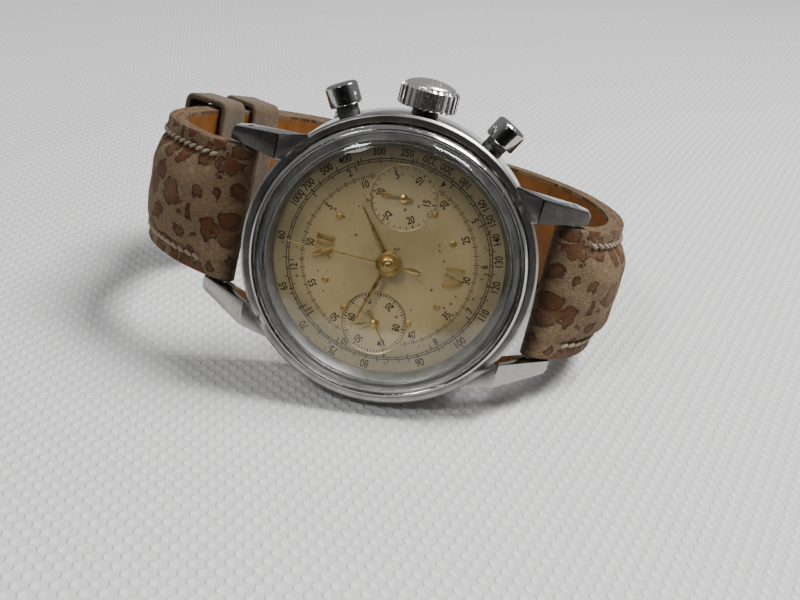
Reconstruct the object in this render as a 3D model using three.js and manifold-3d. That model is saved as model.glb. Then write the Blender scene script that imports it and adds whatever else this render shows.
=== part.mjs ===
// A steel two-register chronograph wristwatch, lying on its side with its strap buckled.
// Millimetres. Everything is drawn in the watch's own frame and then turned into its resting pose:
// x points to three o'clock, y to twelve o'clock, z out of the dial, and z = 0 is the dial's face.
import * as THREE from 'three';
import { mergeVertices } from 'three/addons/utils/BufferGeometryUtils.js';
import Module from 'manifold-3d';

const wasm = await Module();
wasm.setup();

// ---------------------------------------------------------------- driving dimensions
// Resting pose: the watch leans back on its strap and has rolled towards six o'clock.
const REST_TILT = THREE.MathUtils.degToRad(10.29);
const REST_ROLL = THREE.MathUtils.degToRad(7.2);

// Clearances.
const STATIC_GAP = 0.06;
const RUNNING_GAP = 0.1;
const STRAP_GAP = 0.3;

// Case.
const CASE_RADIUS = 18;
const CASE_TOP = 1.5;
const CASE_BOTTOM = -5.6;
const CASE_WALL = 2.9;
const CASE_EDGE_ROUND = 0.3;
const BEZEL_WIDTH = 0.85;
const BEZEL_INSET = 1.25;
const BEZEL_HEIGHT = 1.8;
const BEZEL_SEAT = 0.8;
const GROOVE_WIDTH = 0.2;
const CRYSTAL_WALL = 1.1;
const CRYSTAL_SKIRT = 1.5;
const CRYSTAL_DOME = 1.75;
const REFLECTOR_WIDTH = 0.9;
const REFLECTOR_HEIGHT = 1.7;
const BACK_THICKNESS = 1;
const BACK_DEPTH = 2.3;
const BACK_THREAD_WALL = 0.6;
const BACK_THREAD_HEIGHT = 0.7;
const BACK_INSET = 1.4;
const GASKET_THICKNESS = 0.25;

// Lugs and spring bars.
const LUG_GAP = 18.1;
const LUG_WIDTH = 1.8;
const LUG_ROOT_WIDTH = 4.1;
const LUG_REACH = 4.8;
const LUG_TIP_TOP = -3.4;
const LUG_TIP_BOTTOM = -6.9;
const BAR_RADIUS = 0.75;
const BAR_TIP_RADIUS = 0.35;
const BAR_TIP_LENGTH = 1.1;
const BAR_HEIGHT = -5;
const BAR_FROM_LUG_TIP = 2.3;

// Crown, stem and pushers, all on radial axes at one height.
const STEM_HEIGHT = -2.3;
const STEM_RADIUS = 0.55;
const STEM_START = 9;
const CROWN_RADIUS = 3.6;
const CROWN_LENGTH = 3.3;
const CROWN_STANDOFF = 0.9;
const CROWN_FLUTES = 28;
const CROWN_FLUTE_DEPTH = 0.25;
const CROWN_KNURL_LENGTH = 2;
const CROWN_TUBE_RADIUS = 1.6;
const CROWN_TUBE_BORE = 1;
const CROWN_SOCKET_DEPTH = 2;
const PUSHER_ANGLE = THREE.MathUtils.degToRad(29);
const PUSHER_RADIUS = 2;
const PUSHER_LENGTH = 2.8;
const PUSHER_STANDOFF = 1.2;
const PUSHER_SOCKET_DEPTH = 1.6;
const PUSHER_TUBE_RADIUS = 1.35;
const PUSHER_TUBE_WALL = 0.35;
const PUSHER_STEM_RADIUS = 0.45;
const PUSHER_TRAVEL = 0.9;
const PUSHER_WAY_GAP = 0.4;
const SPRING_WIRE = 0.14;

// Dial and hands.
const DIAL_THICKNESS = 0.4;
const DIAL_HOLE = 1.15;
const SUBDIAL_OFFSET = 8;
const SUBDIAL_RADIUS = 3.9;
const SUBDIAL_DEPTH = 0.15;
const MARKER_RADIUS = 8.1;
const DOT_RADIUS = 0.45;
const DOT_HEIGHT = 0.22;
const NUMERAL_HEIGHT = 1.95;
const NUMERAL_STROKE = 0.42;
const NUMERAL_THICKNESS = 0.25;
const HOUR_HAND_LENGTH = 7.6;
const MINUTE_HAND_LENGTH = 10.6;
const SECONDS_HAND_LENGTH = 12.6;
const SECONDS_TAIL = 4.2;
const RECORDER_HAND_LENGTH = 3.1;
const RUNNING_HAND_LENGTH = 3.4;
const HAND_THICKNESS = 0.15;
const HOUR_HAND_ANGLE = 53;
const MINUTE_HAND_ANGLE = 286;
const RUNNING_HAND_ANGLE = 235;

// Movement: heights of its layers behind the dial.
const MOVEMENT_WALL = 0.75;
const PLATE_TOP = -1.3;
const PLATE_BOTTOM = -3.3;
const BRIDGE_TOP = -4.95;
const BRIDGE_BOTTOM = -5.5;
const WHEEL_THICKNESS = 0.22;
const ARBOR_RADIUS = 0.22;
const TOOTH_DEPTH = 0.3;
const LEVEL_LOW = -3.6;
const LEVEL_MIDDLE = -4.05;
const LEVEL_HIGH = -4.5;
const LEVEL_WINDING = -5.7;
const LEVEL_CHRONO = -6.2;
const CANNON_RADIUS = 0.6;
const CANNON_BORE = 0.36;
const HOUR_PIPE_RADIUS = 0.95;
const BARREL_RADIUS = 4.2;

// Strap, measured along its route from the lugs to the buckle.
const STRAP_WIDTH = LUG_GAP - 2 * STRAP_GAP;
const BUCKLE_END_WIDTH = 16;
const STRAP_INNER = 1.2;
const STRAP_MARGIN = 1;
const STRAP_PADDING = 3;
const STRAP_FLAT = 1.1;
const STRAP_END_ROUND = 1.65;
const MARGIN_WIDTH = 2.5;
const PADDING_PEAK = 11;
const PADDING_END = 24;
const LOOP_DEPTH = 49.5;
const LOOP_OUT_TWELVE = 12.3;
const LOOP_OUT_SIX = 7.8;
const BUCKLE_PLACE = 14;
const TAIL_OVERLAP = 29;
const HOLE_RADIUS = 1;
const HOLE_PITCH = 7;

// Buckle and keepers.
const BUCKLE_BAR_RADIUS = 0.75;
const BUCKLE_REACH = 8.2;
const BUCKLE_LIFT = 2.9;
const BUCKLE_WIRE = 1.7;
const TONGUE_WIDTH = 1.8;
const TONGUE_THICKNESS = 0.9;
const KEEPER_WALL = 0.8;
const KEEPER_LENGTH = 5;
const FIXED_KEEPER_PLACE = 43.5;
const FREE_KEEPER_PLACE = 35.7;

// Facets round a circle.
const WIDE = 48;
const MEDIUM = 28;
const SMALL = 14;
const TINY = 8;

// ---------------------------------------------------------------- derived places
const caseBore = CASE_RADIUS - CASE_WALL;
const movementRadius = caseBore - MOVEMENT_WALL - STATIC_GAP;
const bezelOuter = CASE_RADIUS - BEZEL_INSET;
const bezelInner = bezelOuter - BEZEL_WIDTH;
const crystalOuter = bezelInner - STATIC_GAP;
const crystalInner = crystalOuter - CRYSTAL_WALL;
const crystalBottom = REFLECTOR_HEIGHT + STATIC_GAP;
const crystalShoulder = crystalBottom + CRYSTAL_SKIRT;
const reflectorOuter = caseBore - STATIC_GAP;
const dialRadius = caseBore - STATIC_GAP;
const backRadius = CASE_RADIUS - BACK_INSET;
const backOuter = CASE_BOTTOM - BACK_DEPTH;
const backFlangeTop = CASE_BOTTOM - GASKET_THICKNESS - 2 * STATIC_GAP;
const threadOuter = caseBore - STATIC_GAP;
const lugInner = LUG_GAP / 2;
const lugOuter = lugInner + LUG_WIDTH;
const lugTip = CASE_RADIUS + LUG_REACH;
const barPlace = lugTip - BAR_FROM_LUG_TIP;
const crownBase = CASE_RADIUS + CROWN_STANDOFF;
const pusherBase = CASE_RADIUS + PUSHER_STANDOFF;
const pusherStemEnd = caseBore - MOVEMENT_WALL + 0.05;
const pusherInside = pusherStemEnd - PUSHER_TRAVEL - 0.15;
const tubeStart = CASE_RADIUS - CASE_WALL + STATIC_GAP;
const pusherTubeBore = PUSHER_TUBE_RADIUS - PUSHER_TUBE_WALL;
const hourHandHeight = 0.55;
const minuteHandHeight = hourHandHeight + HAND_THICKNESS + 0.35;
const secondsHandHeight = minuteHandHeight + HAND_THICKNESS + 0.35;

// Places of the movement's arbors, seen from the dial side.
const CENTRE = [0, 0];
const RECORDER = [SUBDIAL_OFFSET, 0];
const FOURTH = [-SUBDIAL_OFFSET, 0];
const THIRD = [-4.8, 3.3];
const ESCAPE = [-8.6, -4.1];
const FORK = [-5.7, -6.3];
const BALANCE = [-1.5, -9.3];
const BARREL = [4, 3.6];
const CROWN_WHEEL = [9.4, 3.4];
const COUPLING = [-4.9, -2.6];
const COLUMN = [3.4, 10.4];
const START_PIVOT = [9.2, 9.4];
const RESET_PIVOT = [9.2, -9.4];
const MINUTE_WHEEL = [2.3, -2.6];

// ---------------------------------------------------------------- materials
function material(color, roughness, metalness) {
  return new THREE.MeshStandardMaterial({ color, roughness, metalness });
}

const steel = material(0xb9bcc0, 0.3, 1);
const polished = material(0xd7d9dc, 0.12, 1);
const darkSteel = material(0x55585c, 0.4, 1);
const gilt = material(0xb08a45, 0.3, 1);
const brass = material(0xc9a24e, 0.35, 1);
const rhodium = material(0xc9c6bd, 0.3, 1);
const dialPaint = material(0xd9cdb2, 0.6, 0);
const rubber = material(0x202020, 0.8, 0);
const leather = material(0xa08a72, 0.8, 0);
const keeperLeather = material(0x7d6a57, 0.8, 0);
const acrylic = new THREE.MeshStandardMaterial({
  color: 0xf2f2ee,
  roughness: 0.05,
  metalness: 0,
  transparent: true,
  opacity: 0.25,
});

// ---------------------------------------------------------------- geometry helpers
function signedVolume(geometry) {
  const corners = geometry.getAttribute('position');
  const index = geometry.index.array;
  const a = new THREE.Vector3();
  const b = new THREE.Vector3();
  const c = new THREE.Vector3();
  let volume = 0;
  for (let i = 0; i < index.length; i += 3) {
    a.fromBufferAttribute(corners, index[i]);
    b.fromBufferAttribute(corners, index[i + 1]);
    c.fromBufferAttribute(corners, index[i + 2]);
    volume += a.dot(b.cross(c)) / 6;
  }
  return volume;
}

// One closed skin with shared vertices, no slivers and its faces pointing out.
function closed(geometry) {
  const bare = geometry.clone();
  bare.deleteAttribute('normal');
  bare.deleteAttribute('uv');
  const merged = mergeVertices(bare, 1e-4);
  const kept = [];
  const index = merged.index.array;
  for (let i = 0; i < index.length; i += 3) {
    const [a, b, c] = index.slice(i, i + 3);
    if (a !== b && b !== c && c !== a) kept.push(a, b, c);
  }
  merged.setIndex(kept);
  if (signedVolume(merged) < 0) merged.setIndex(kept.reverse());
  return merged;
}

function solid(geometry) {
  const skin = closed(geometry);
  return new wasm.Manifold(
    new wasm.Mesh({
      numProp: 3,
      vertProperties: new Float32Array(skin.getAttribute('position').array),
      triVerts: new Uint32Array(skin.index.array),
    }),
  );
}

function geometryOf(manifold) {
  const mesh = manifold.getMesh();
  const geometry = new THREE.BufferGeometry();
  geometry.setAttribute('position', new THREE.BufferAttribute(mesh.vertProperties, 3));
  geometry.setIndex(new THREE.BufferAttribute(mesh.triVerts, 1));
  return geometry;
}

function carved(base, cuts = [], joins = []) {
  let shape = solid(base);
  for (const piece of joins) shape = shape.add(solid(piece));
  for (const piece of cuts) shape = shape.subtract(solid(piece));
  return geometryOf(shape);
}

// A body of revolution about z from [radius, height] pairs. A profile off the axis closes on itself.
// The widest rings are turned so that the case stands on the middle of one facet.
function turned(profile, facets) {
  const points = profile.map(([radius, height]) => new THREE.Vector2(radius, height));
  if (profile[0][0] > 0) points.push(points[0].clone());
  const shape = new THREE.LatheGeometry(points, facets).rotateX(Math.PI / 2);
  if (facets === WIDE) shape.rotateZ(REST_ROLL + Math.PI / WIDE);
  return closed(shape);
}

function disc(radius, low, high, facets) {
  return turned([[0, low], [radius, low], [radius, high], [0, high]], facets);
}

function ring(inner, outer, low, high, facets) {
  return turned([[inner, low], [outer, low], [outer, high], [inner, high]], facets);
}

function shapeOf(outline, holes = []) {
  const shape = new THREE.Shape(outline.map(([x, y]) => new THREE.Vector2(x, y)));
  for (const hole of holes) shape.holes.push(new THREE.Path(hole.map(([x, y]) => new THREE.Vector2(x, y))));
  return shape;
}

// A flat outline in x and y, given thickness from low to high.
function plate(outline, low, high, holes = []) {
  const options = { depth: high - low, bevelEnabled: false };
  return closed(new THREE.ExtrudeGeometry(shapeOf(outline, holes), options).translate(0, 0, low));
}

// An outline in y and z, given its thickness along x.
const sideways = new THREE.Matrix4().makeBasis(
  new THREE.Vector3(0, 1, 0),
  new THREE.Vector3(0, 0, 1),
  new THREE.Vector3(1, 0, 0),
);

function slab(outline, left, right, holes = []) {
  return closed(plate(outline, left, right, holes).applyMatrix4(sideways));
}

function circle(radius, facets, at = [0, 0]) {
  const points = [];
  for (let i = 0; i < facets; i += 1) {
    const angle = (2 * Math.PI * i) / facets;
    points.push([at[0] + radius * Math.cos(angle), at[1] + radius * Math.sin(angle)]);
  }
  return points;
}

// The radius of a faceted hole in which a shaft turns freely.
function holeFor(radius, gap, facets) {
  return (radius + gap) / Math.cos(Math.PI / facets);
}

function moved(geometry, x, y, z = 0) {
  return geometry.clone().translate(x, y, z);
}

// The frame of a radial axis: z runs outwards from the middle of the case.
function radialFrame(angle) {
  const outward = new THREE.Vector3(Math.cos(angle), Math.sin(angle), 0);
  const up = new THREE.Vector3(0, 0, 1);
  const side = new THREE.Vector3().crossVectors(up, outward);
  const frame = new THREE.Matrix4().makeBasis(side, up, outward);
  return frame.setPosition(0, 0, STEM_HEIGHT);
}

// ---------------------------------------------------------------- scene graph
const rest = new THREE.Group();
const lean = new THREE.Group();
const roll = new THREE.Group();
const watch = new THREE.Group();
rest.add(lean);
lean.add(roll);
roll.add(watch);
watch.applyMatrix4(new THREE.Matrix4().makeBasis(
  new THREE.Vector3(0, 0, 1),
  new THREE.Vector3(-1, 0, 0),
  new THREE.Vector3(0, -1, 0),
));
roll.rotation.y = REST_ROLL;
lean.rotation.x = -REST_TILT;

function add(name, geometry, look, parent = watch) {
  const mesh = new THREE.Mesh(geometry, look);
  mesh.name = name;
  parent.add(mesh);
  return mesh;
}

function radialGroup(angle) {
  const group = new THREE.Group();
  group.applyMatrix4(radialFrame(angle));
  watch.add(group);
  return group;
}

const crownGroup = radialGroup(0);
const startGroup = radialGroup(PUSHER_ANGLE);
const resetGroup = radialGroup(-PUSHER_ANGLE);

// ---------------------------------------------------------------- case
function lugShape(side, end) {
  // In plan the lug runs straight inside and tapers outside; in profile its top falls to the tip.
  const root = CASE_RADIUS * 0.62;
  const plan = [
    [side * lugInner, end * root],
    [side * (lugInner + LUG_ROOT_WIDTH), end * root],
    [side * lugOuter, end * (lugTip - 0.4)],
    [side * (lugOuter - 0.4), end * lugTip],
    [side * lugInner, end * lugTip],
  ];
  const profile = [
    [end * root, CASE_BOTTOM + 0.2],
    [end * CASE_RADIUS, CASE_BOTTOM + 0.2],
    [end * (lugTip - 2), LUG_TIP_BOTTOM],
    [end * lugTip, LUG_TIP_BOTTOM],
    [end * lugTip, LUG_TIP_TOP],
    [end * (CASE_RADIUS - 0.8), CASE_TOP - 1.1],
    [end * root, CASE_TOP - 0.1],
  ];
  const across = plate(plan, LUG_TIP_BOTTOM - 1, CASE_TOP + 1);
  const along = slab(profile, -2 * CASE_RADIUS, 2 * CASE_RADIUS);
  return solid(across).intersect(solid(along));
}

function caseBody() {
  const seatTop = CASE_TOP - BEZEL_SEAT + 0.2;
  const profile = [
    [caseBore, CASE_BOTTOM],
    [CASE_RADIUS - 0.8, CASE_BOTTOM],
    [CASE_RADIUS, CASE_BOTTOM + 0.8],
    [CASE_RADIUS, CASE_TOP - CASE_EDGE_ROUND],
    [CASE_RADIUS - CASE_EDGE_ROUND, CASE_TOP],
    [bezelOuter + GROOVE_WIDTH, CASE_TOP],
    [bezelOuter + GROOVE_WIDTH, seatTop],
    [bezelInner, seatTop],
    [bezelInner, REFLECTOR_HEIGHT],
    [caseBore, REFLECTOR_HEIGHT],
  ];
  let body = solid(turned(profile, WIDE));
  for (const side of [-1, 1]) {
    for (const end of [-1, 1]) body = body.add(lugShape(side, end));
  }
  body = body.subtract(solid(disc(caseBore, CASE_BOTTOM - 2, CASE_TOP + 1, WIDE)));
  const backSpace = disc(backRadius + 0.3, LUG_TIP_BOTTOM - 2, CASE_BOTTOM, WIDE);
  body = body.subtract(solid(backSpace));
  const bezelSpace = ring(bezelInner, bezelOuter + GROOVE_WIDTH, seatTop, CASE_TOP + 1, WIDE);
  body = body.subtract(solid(bezelSpace));
  const lugHole = disc(BAR_TIP_RADIUS + RUNNING_GAP, -CASE_RADIUS, CASE_RADIUS, TINY).rotateY(Math.PI / 2);
  for (const end of [-1, 1]) {
    body = body.subtract(solid(moved(lugHole, 0, end * barPlace, BAR_HEIGHT)));
  }
  const crownHole = disc(CROWN_TUBE_RADIUS + STATIC_GAP, caseBore - 2, CASE_RADIUS + 2, SMALL);
  body = body.subtract(solid(crownHole.applyMatrix4(radialFrame(0))));
  for (const angle of [PUSHER_ANGLE, -PUSHER_ANGLE]) {
    const hole = disc(PUSHER_TUBE_RADIUS + STATIC_GAP, caseBore - 2, CASE_RADIUS + 2, SMALL);
    body = body.subtract(solid(hole.applyMatrix4(radialFrame(angle))));
  }
  return geometryOf(body);
}

function bezelRing() {
  const low = CASE_TOP - BEZEL_SEAT + 0.2 + STATIC_GAP;
  const high = low + BEZEL_HEIGHT + 0.4;
  return turned([
    [bezelInner + STATIC_GAP, low],
    [bezelOuter, low],
    [bezelOuter, high - 0.6],
    [bezelOuter - 0.12, high - 0.25],
    [bezelOuter - 0.4, high],
    [bezelInner + 0.2, high],
    [bezelInner + STATIC_GAP, high - 0.2],
  ], WIDE);
}

function crystalDome() {
  const top = crystalShoulder + CRYSTAL_DOME;
  const shoulder = crystalOuter - 0.5;
  const wall = CRYSTAL_WALL * 0.9;
  return turned([
    [0, top - wall],
    [shoulder * 0.5, top - wall - CRYSTAL_DOME * 0.2],
    [crystalInner - 0.6, crystalShoulder + CRYSTAL_DOME * 0.3 - wall * 0.5],
    [crystalInner, crystalShoulder - 0.5],
    [crystalInner, crystalBottom],
    [crystalOuter, crystalBottom],
    [crystalOuter, crystalShoulder],
    [shoulder, crystalShoulder + CRYSTAL_DOME * 0.4],
    [shoulder * 0.85, crystalShoulder + CRYSTAL_DOME * 0.62],
    [shoulder * 0.5, top - CRYSTAL_DOME * 0.12],
    [0, top],
  ], WIDE);
}

function reflectorRing() {
  const inner = reflectorOuter - REFLECTOR_WIDTH;
  return turned([
    [inner, STATIC_GAP],
    [reflectorOuter, STATIC_GAP],
    [reflectorOuter, REFLECTOR_HEIGHT],
    [reflectorOuter - 0.25, REFLECTOR_HEIGHT],
    [inner, STATIC_GAP + 0.2],
  ], WIDE);
}

function caseBack() {
  const threadInner = threadOuter - BACK_THREAD_WALL;
  return turned([
    [0, backOuter],
    [backRadius - 1, backOuter],
    [backRadius, backOuter + 0.8],
    [backRadius, backFlangeTop],
    [threadOuter, backFlangeTop],
    [threadOuter, CASE_BOTTOM + BACK_THREAD_HEIGHT],
    [threadInner, CASE_BOTTOM + BACK_THREAD_HEIGHT],
    [threadInner, backOuter + BACK_THICKNESS],
    [0, backOuter + BACK_THICKNESS],
  ], WIDE);
}

function caseBackGasket() {
  const low = CASE_BOTTOM - STATIC_GAP - GASKET_THICKNESS;
  return ring(caseBore + STATIC_GAP, backRadius - 0.5, low, low + GASKET_THICKNESS, WIDE);
}

function springBar(end) {
  const reach = lugInner + BAR_TIP_LENGTH;
  const barrelReach = lugInner - 0.25;
  const bar = turned([
    [0, -reach],
    [BAR_TIP_RADIUS, -reach],
    [BAR_TIP_RADIUS, -barrelReach],
    [BAR_RADIUS, -barrelReach],
    [BAR_RADIUS, barrelReach],
    [BAR_TIP_RADIUS, barrelReach],
    [BAR_TIP_RADIUS, reach],
    [0, reach],
  ], TINY).rotateY(Math.PI / 2);
  return moved(bar, 0, end * barPlace, BAR_HEIGHT);
}

add('case_body', caseBody(), steel);
add('bezel', bezelRing(), polished);
add('crystal', crystalDome(), acrylic);
add('reflector_ring', reflectorRing(), darkSteel);
add('case_back', caseBack(), steel);
add('case_back_gasket', caseBackGasket(), rubber);
add('spring_bar_twelve', springBar(1), steel);
add('spring_bar_six', springBar(-1), steel);

// ---------------------------------------------------------------- crown and pushers
function crownKnob() {
  const base = crownBase;
  const knurlTop = base + CROWN_KNURL_LENGTH;
  const outline = [];
  for (let i = 0; i < CROWN_FLUTES; i += 1) {
    for (const [share, inset] of [[0, 0], [0.5, CROWN_FLUTE_DEPTH]]) {
      const angle = (2 * Math.PI * (i + share)) / CROWN_FLUTES;
      const radius = CROWN_RADIUS - inset;
      outline.push([radius * Math.cos(angle), radius * Math.sin(angle)]);
    }
  }
  const dome = turned([
    [0, base + 0.3],
    [CROWN_RADIUS - 0.5, base + 0.3],
    [CROWN_RADIUS - 0.5, knurlTop],
    [CROWN_RADIUS - 0.45, knurlTop + 0.35],
    [CROWN_RADIUS - 1.1, base + CROWN_LENGTH - 0.35],
    [CROWN_RADIUS * 0.4, base + CROWN_LENGTH],
    [0, base + CROWN_LENGTH],
  ], MEDIUM);
  const socket = disc(CROWN_TUBE_RADIUS + 0.45, base - 1, base + CROWN_SOCKET_DEPTH, SMALL);
  const stemHole = disc(STEM_RADIUS + STATIC_GAP, base, base + CROWN_LENGTH - 0.7, SMALL);
  return carved(plate(outline, base, knurlTop), [socket, stemHole], [dome]);
}

function pusher() {
  const top = pusherBase + PUSHER_LENGTH;
  const socketTop = pusherBase + PUSHER_SOCKET_DEPTH;
  return turned([
    [0, pusherStemEnd],
    [PUSHER_STEM_RADIUS, pusherStemEnd],
    [PUSHER_STEM_RADIUS, socketTop],
    [PUSHER_TUBE_RADIUS + 0.2, socketTop],
    [PUSHER_TUBE_RADIUS + 0.2, pusherBase],
    [PUSHER_RADIUS - 0.1, pusherBase],
    [PUSHER_RADIUS, pusherBase + 0.15],
    [PUSHER_RADIUS, top - 0.35],
    [PUSHER_RADIUS - 0.4, top - 0.1],
    [PUSHER_RADIUS * 0.4, top],
    [0, top],
  ], SMALL);
}

function pusherTube() {
  const end = pusherBase - 0.1;
  const floor = tubeStart + 0.5;
  return turned([
    [holeFor(PUSHER_STEM_RADIUS, RUNNING_GAP, SMALL), tubeStart],
    [PUSHER_TUBE_RADIUS, tubeStart],
    [PUSHER_TUBE_RADIUS, end],
    [pusherTubeBore, end],
    [pusherTubeBore, floor],
    [holeFor(PUSHER_STEM_RADIUS, RUNNING_GAP, SMALL), floor],
  ], SMALL);
}

class Coil extends THREE.Curve {
  constructor(radius, start, end, turns) {
    super();
    Object.assign(this, { radius, start, end, turns });
  }

  getPoint(share, target = new THREE.Vector3()) {
    const angle = 2 * Math.PI * this.turns * share;
    const along = this.start + (this.end - this.start) * share;
    return target.set(this.radius * Math.cos(angle), this.radius * Math.sin(angle), along);
  }
}

function coilSpring() {
  const radius = (pusherTubeBore + PUSHER_STEM_RADIUS) / 2 + 0.03;
  const start = tubeStart + 0.5 + SPRING_WIRE + 0.05;
  const path = new Coil(radius, start, pusherBase + PUSHER_SOCKET_DEPTH - SPRING_WIRE - 0.05, 5);
  const section = shapeOf(circle(SPRING_WIRE, 3));
  return closed(new THREE.ExtrudeGeometry(section, { extrudePath: path, steps: 40, bevelEnabled: false }));
}

function crownTube() {
  return ring(CROWN_TUBE_BORE, CROWN_TUBE_RADIUS, tubeStart, crownBase + 1.4, SMALL);
}

function windingStem() {
  const pinion = STEM_START + 1.6;
  return turned([
    [0, STEM_START],
    [STEM_RADIUS * 0.6, STEM_START],
    [STEM_RADIUS * 0.6, STEM_START + 0.6],
    [STEM_RADIUS * 1.7, STEM_START + 0.6],
    [STEM_RADIUS * 1.7, pinion + 0.6],
    [STEM_RADIUS, pinion + 0.6],
    [STEM_RADIUS, crownBase + CROWN_LENGTH - 0.8],
    [0, crownBase + CROWN_LENGTH - 0.8],
  ], SMALL);
}

function crownGasket() {
  const low = crownBase + 1.4 + STATIC_GAP + 0.05;
  const high = crownBase + CROWN_SOCKET_DEPTH - STATIC_GAP;
  return ring(STEM_RADIUS + 0.2, CROWN_TUBE_RADIUS + 0.2, low, high, SMALL);
}

add('crown', crownKnob(), polished, crownGroup);
add('crown_gasket', crownGasket(), rubber, crownGroup);
add('crown_tube', crownTube(), darkSteel, crownGroup);
add('winding_stem', windingStem(), steel, crownGroup);
for (const [name, group] of [['start', startGroup], ['reset', resetGroup]]) {
  add(`${name}_pusher`, pusher(), polished, group);
  add(`${name}_pusher_tube`, pusherTube(), darkSteel, group);
  add(`${name}_pusher_spring`, coilSpring(), steel, group);
}

// ---------------------------------------------------------------- dial
function dialPlate() {
  const cuts = [disc(DIAL_HOLE, -1, 1, SMALL)];
  for (const side of [-1, 1]) {
    const place = side * SUBDIAL_OFFSET;
    cuts.push(moved(disc(SUBDIAL_RADIUS, -SUBDIAL_DEPTH, 1, MEDIUM), place, 0));
    cuts.push(moved(disc(holeFor(ARBOR_RADIUS, RUNNING_GAP, TINY), -1, 1, TINY), place, 0));
  }
  const dots = [];
  const dot = turned([
    [0, -0.1],
    [DOT_RADIUS, -0.1],
    [DOT_RADIUS * 0.8, DOT_HEIGHT * 0.7],
    [0, DOT_HEIGHT],
  ], TINY);
  for (const hour of [1, 2, 4, 5, 7, 8, 10, 11]) {
    const angle = (hour * Math.PI) / 6;
    dots.push(moved(dot, MARKER_RADIUS * Math.sin(angle), MARKER_RADIUS * Math.cos(angle)));
  }
  return carved(disc(dialRadius, -DIAL_THICKNESS, 0, WIDE), cuts, dots);
}

function stroke(from, to, width = NUMERAL_STROKE) {
  const [dx, dy] = [to[0] - from[0], to[1] - from[1]];
  const half = width / 2 / Math.hypot(dx, dy);
  const [nx, ny] = [-dy * half, dx * half];
  const outline = [
    [from[0] - nx, from[1] - ny],
    [to[0] - nx, to[1] - ny],
    [to[0] + nx, to[1] + ny],
    [from[0] + nx, from[1] + ny],
  ];
  return plate(outline, STATIC_GAP, STATIC_GAP + NUMERAL_THICKNESS);
}

const rise = NUMERAL_HEIGHT / 2;
const X_REACH = 0.68;
const V_REACH = 0.75;
const V_FOOT = 0.05;
const letterI = stroke([0, -rise], [0, rise]);
const letterX = carved(stroke([-X_REACH, -rise], [X_REACH, rise]), [], [stroke([X_REACH, -rise], [-X_REACH, rise])]);
const letterV = carved(stroke([-V_REACH, rise], [-V_FOOT, -rise]), [], [stroke([V_REACH, rise], [V_FOOT, -rise])]);

add('dial', dialPlate(), dialPaint);
add('numeral_twelve_x', moved(letterX, -0.75, MARKER_RADIUS), gilt);
add('numeral_twelve_first_i', moved(letterI, 0.55, MARKER_RADIUS), gilt);
add('numeral_twelve_second_i', moved(letterI, 1.25, MARKER_RADIUS), gilt);
add('numeral_six_v', moved(letterV, -0.45, -MARKER_RADIUS), gilt);
add('numeral_six_i', moved(letterI, 1.05, -MARKER_RADIUS), gilt);

// ---------------------------------------------------------------- hands
function hand(length, width, tail, tailWidth, bossRadius, hole) {
  const blade = [
    [-width / 2, 0],
    [-tailWidth / 2, -tail],
    [tailWidth / 2, -tail],
    [width / 2, 0],
    [width * 0.14, length],
    [-width * 0.14, length],
  ];
  const cuts = hole > 0 ? [disc(hole, -2, 2, SMALL)] : [];
  const boss = disc(bossRadius, -HAND_THICKNESS, HAND_THICKNESS, SMALL);
  return carved(plate(blade, 0, HAND_THICKNESS), cuts, [boss]);
}

function addHand(name, geometry, at, height, angle, look = gilt) {
  const mesh = add(name, geometry, look);
  mesh.position.set(at[0], at[1], height);
  mesh.rotation.z = -THREE.MathUtils.degToRad(angle);
}

const cannonHole = holeFor(CANNON_RADIUS, 0.03, SMALL);
const pipeHole = holeFor(HOUR_PIPE_RADIUS, 0.03, SMALL);
const arborHole = holeFor(ARBOR_RADIUS, 0.03, SMALL);

function secondsHand() {
  const blade = [
    [-0.14, 0],
    [-0.12, -SECONDS_TAIL * 0.55],
    [-0.42, -SECONDS_TAIL * 0.72],
    [0, -SECONDS_TAIL],
    [0.42, -SECONDS_TAIL * 0.72],
    [0.12, -SECONDS_TAIL * 0.55],
    [0.14, 0],
    [0.06, SECONDS_HAND_LENGTH],
    [-0.06, SECONDS_HAND_LENGTH],
  ];
  const hub = turned([
    [0, 0],
    [1.45, 0],
    [1.45, HAND_THICKNESS],
    [0.8, HAND_THICKNESS + 0.05],
    [0.7, HAND_THICKNESS + 0.4],
    [0, HAND_THICKNESS + 0.4],
  ], SMALL);
  return carved(plate(blade, 0, HAND_THICKNESS), [disc(arborHole, -1, 0.4, SMALL)], [hub]);
}

const hourHand = hand(HOUR_HAND_LENGTH, 0.7, 1.7, 0.4, 1.45, pipeHole);
addHand('hour_hand', hourHand, CENTRE, hourHandHeight, HOUR_HAND_ANGLE);
addHand('minute_hand', hand(MINUTE_HAND_LENGTH, 0.6, 1.8, 0.35, 1.1, cannonHole), CENTRE, minuteHandHeight,
  MINUTE_HAND_ANGLE);
addHand('chrono_seconds_hand', secondsHand(), CENTRE, secondsHandHeight, 0);
const subHandHeight = 0.02;
addHand('minute_recorder_hand', hand(RECORDER_HAND_LENGTH, 0.5, 0.9, 0.25, 0.5, arborHole), RECORDER,
  subHandHeight + HAND_THICKNESS, 0);
addHand('running_seconds_hand', hand(RUNNING_HAND_LENGTH, 0.4, 1.6, 0.4, 0.5, arborHole), FOURTH,
  subHandHeight + HAND_THICKNESS, RUNNING_HAND_ANGLE);

// ---------------------------------------------------------------- movement
function teethOutline(radius, teeth) {
  const outline = [];
  for (let i = 0; i < 2 * teeth; i += 1) {
    const reach = i % 2 === 0 ? radius : radius - TOOTH_DEPTH;
    const angle = (Math.PI * i) / teeth;
    outline.push([reach * Math.cos(angle), reach * Math.sin(angle)]);
  }
  return outline;
}

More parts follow.
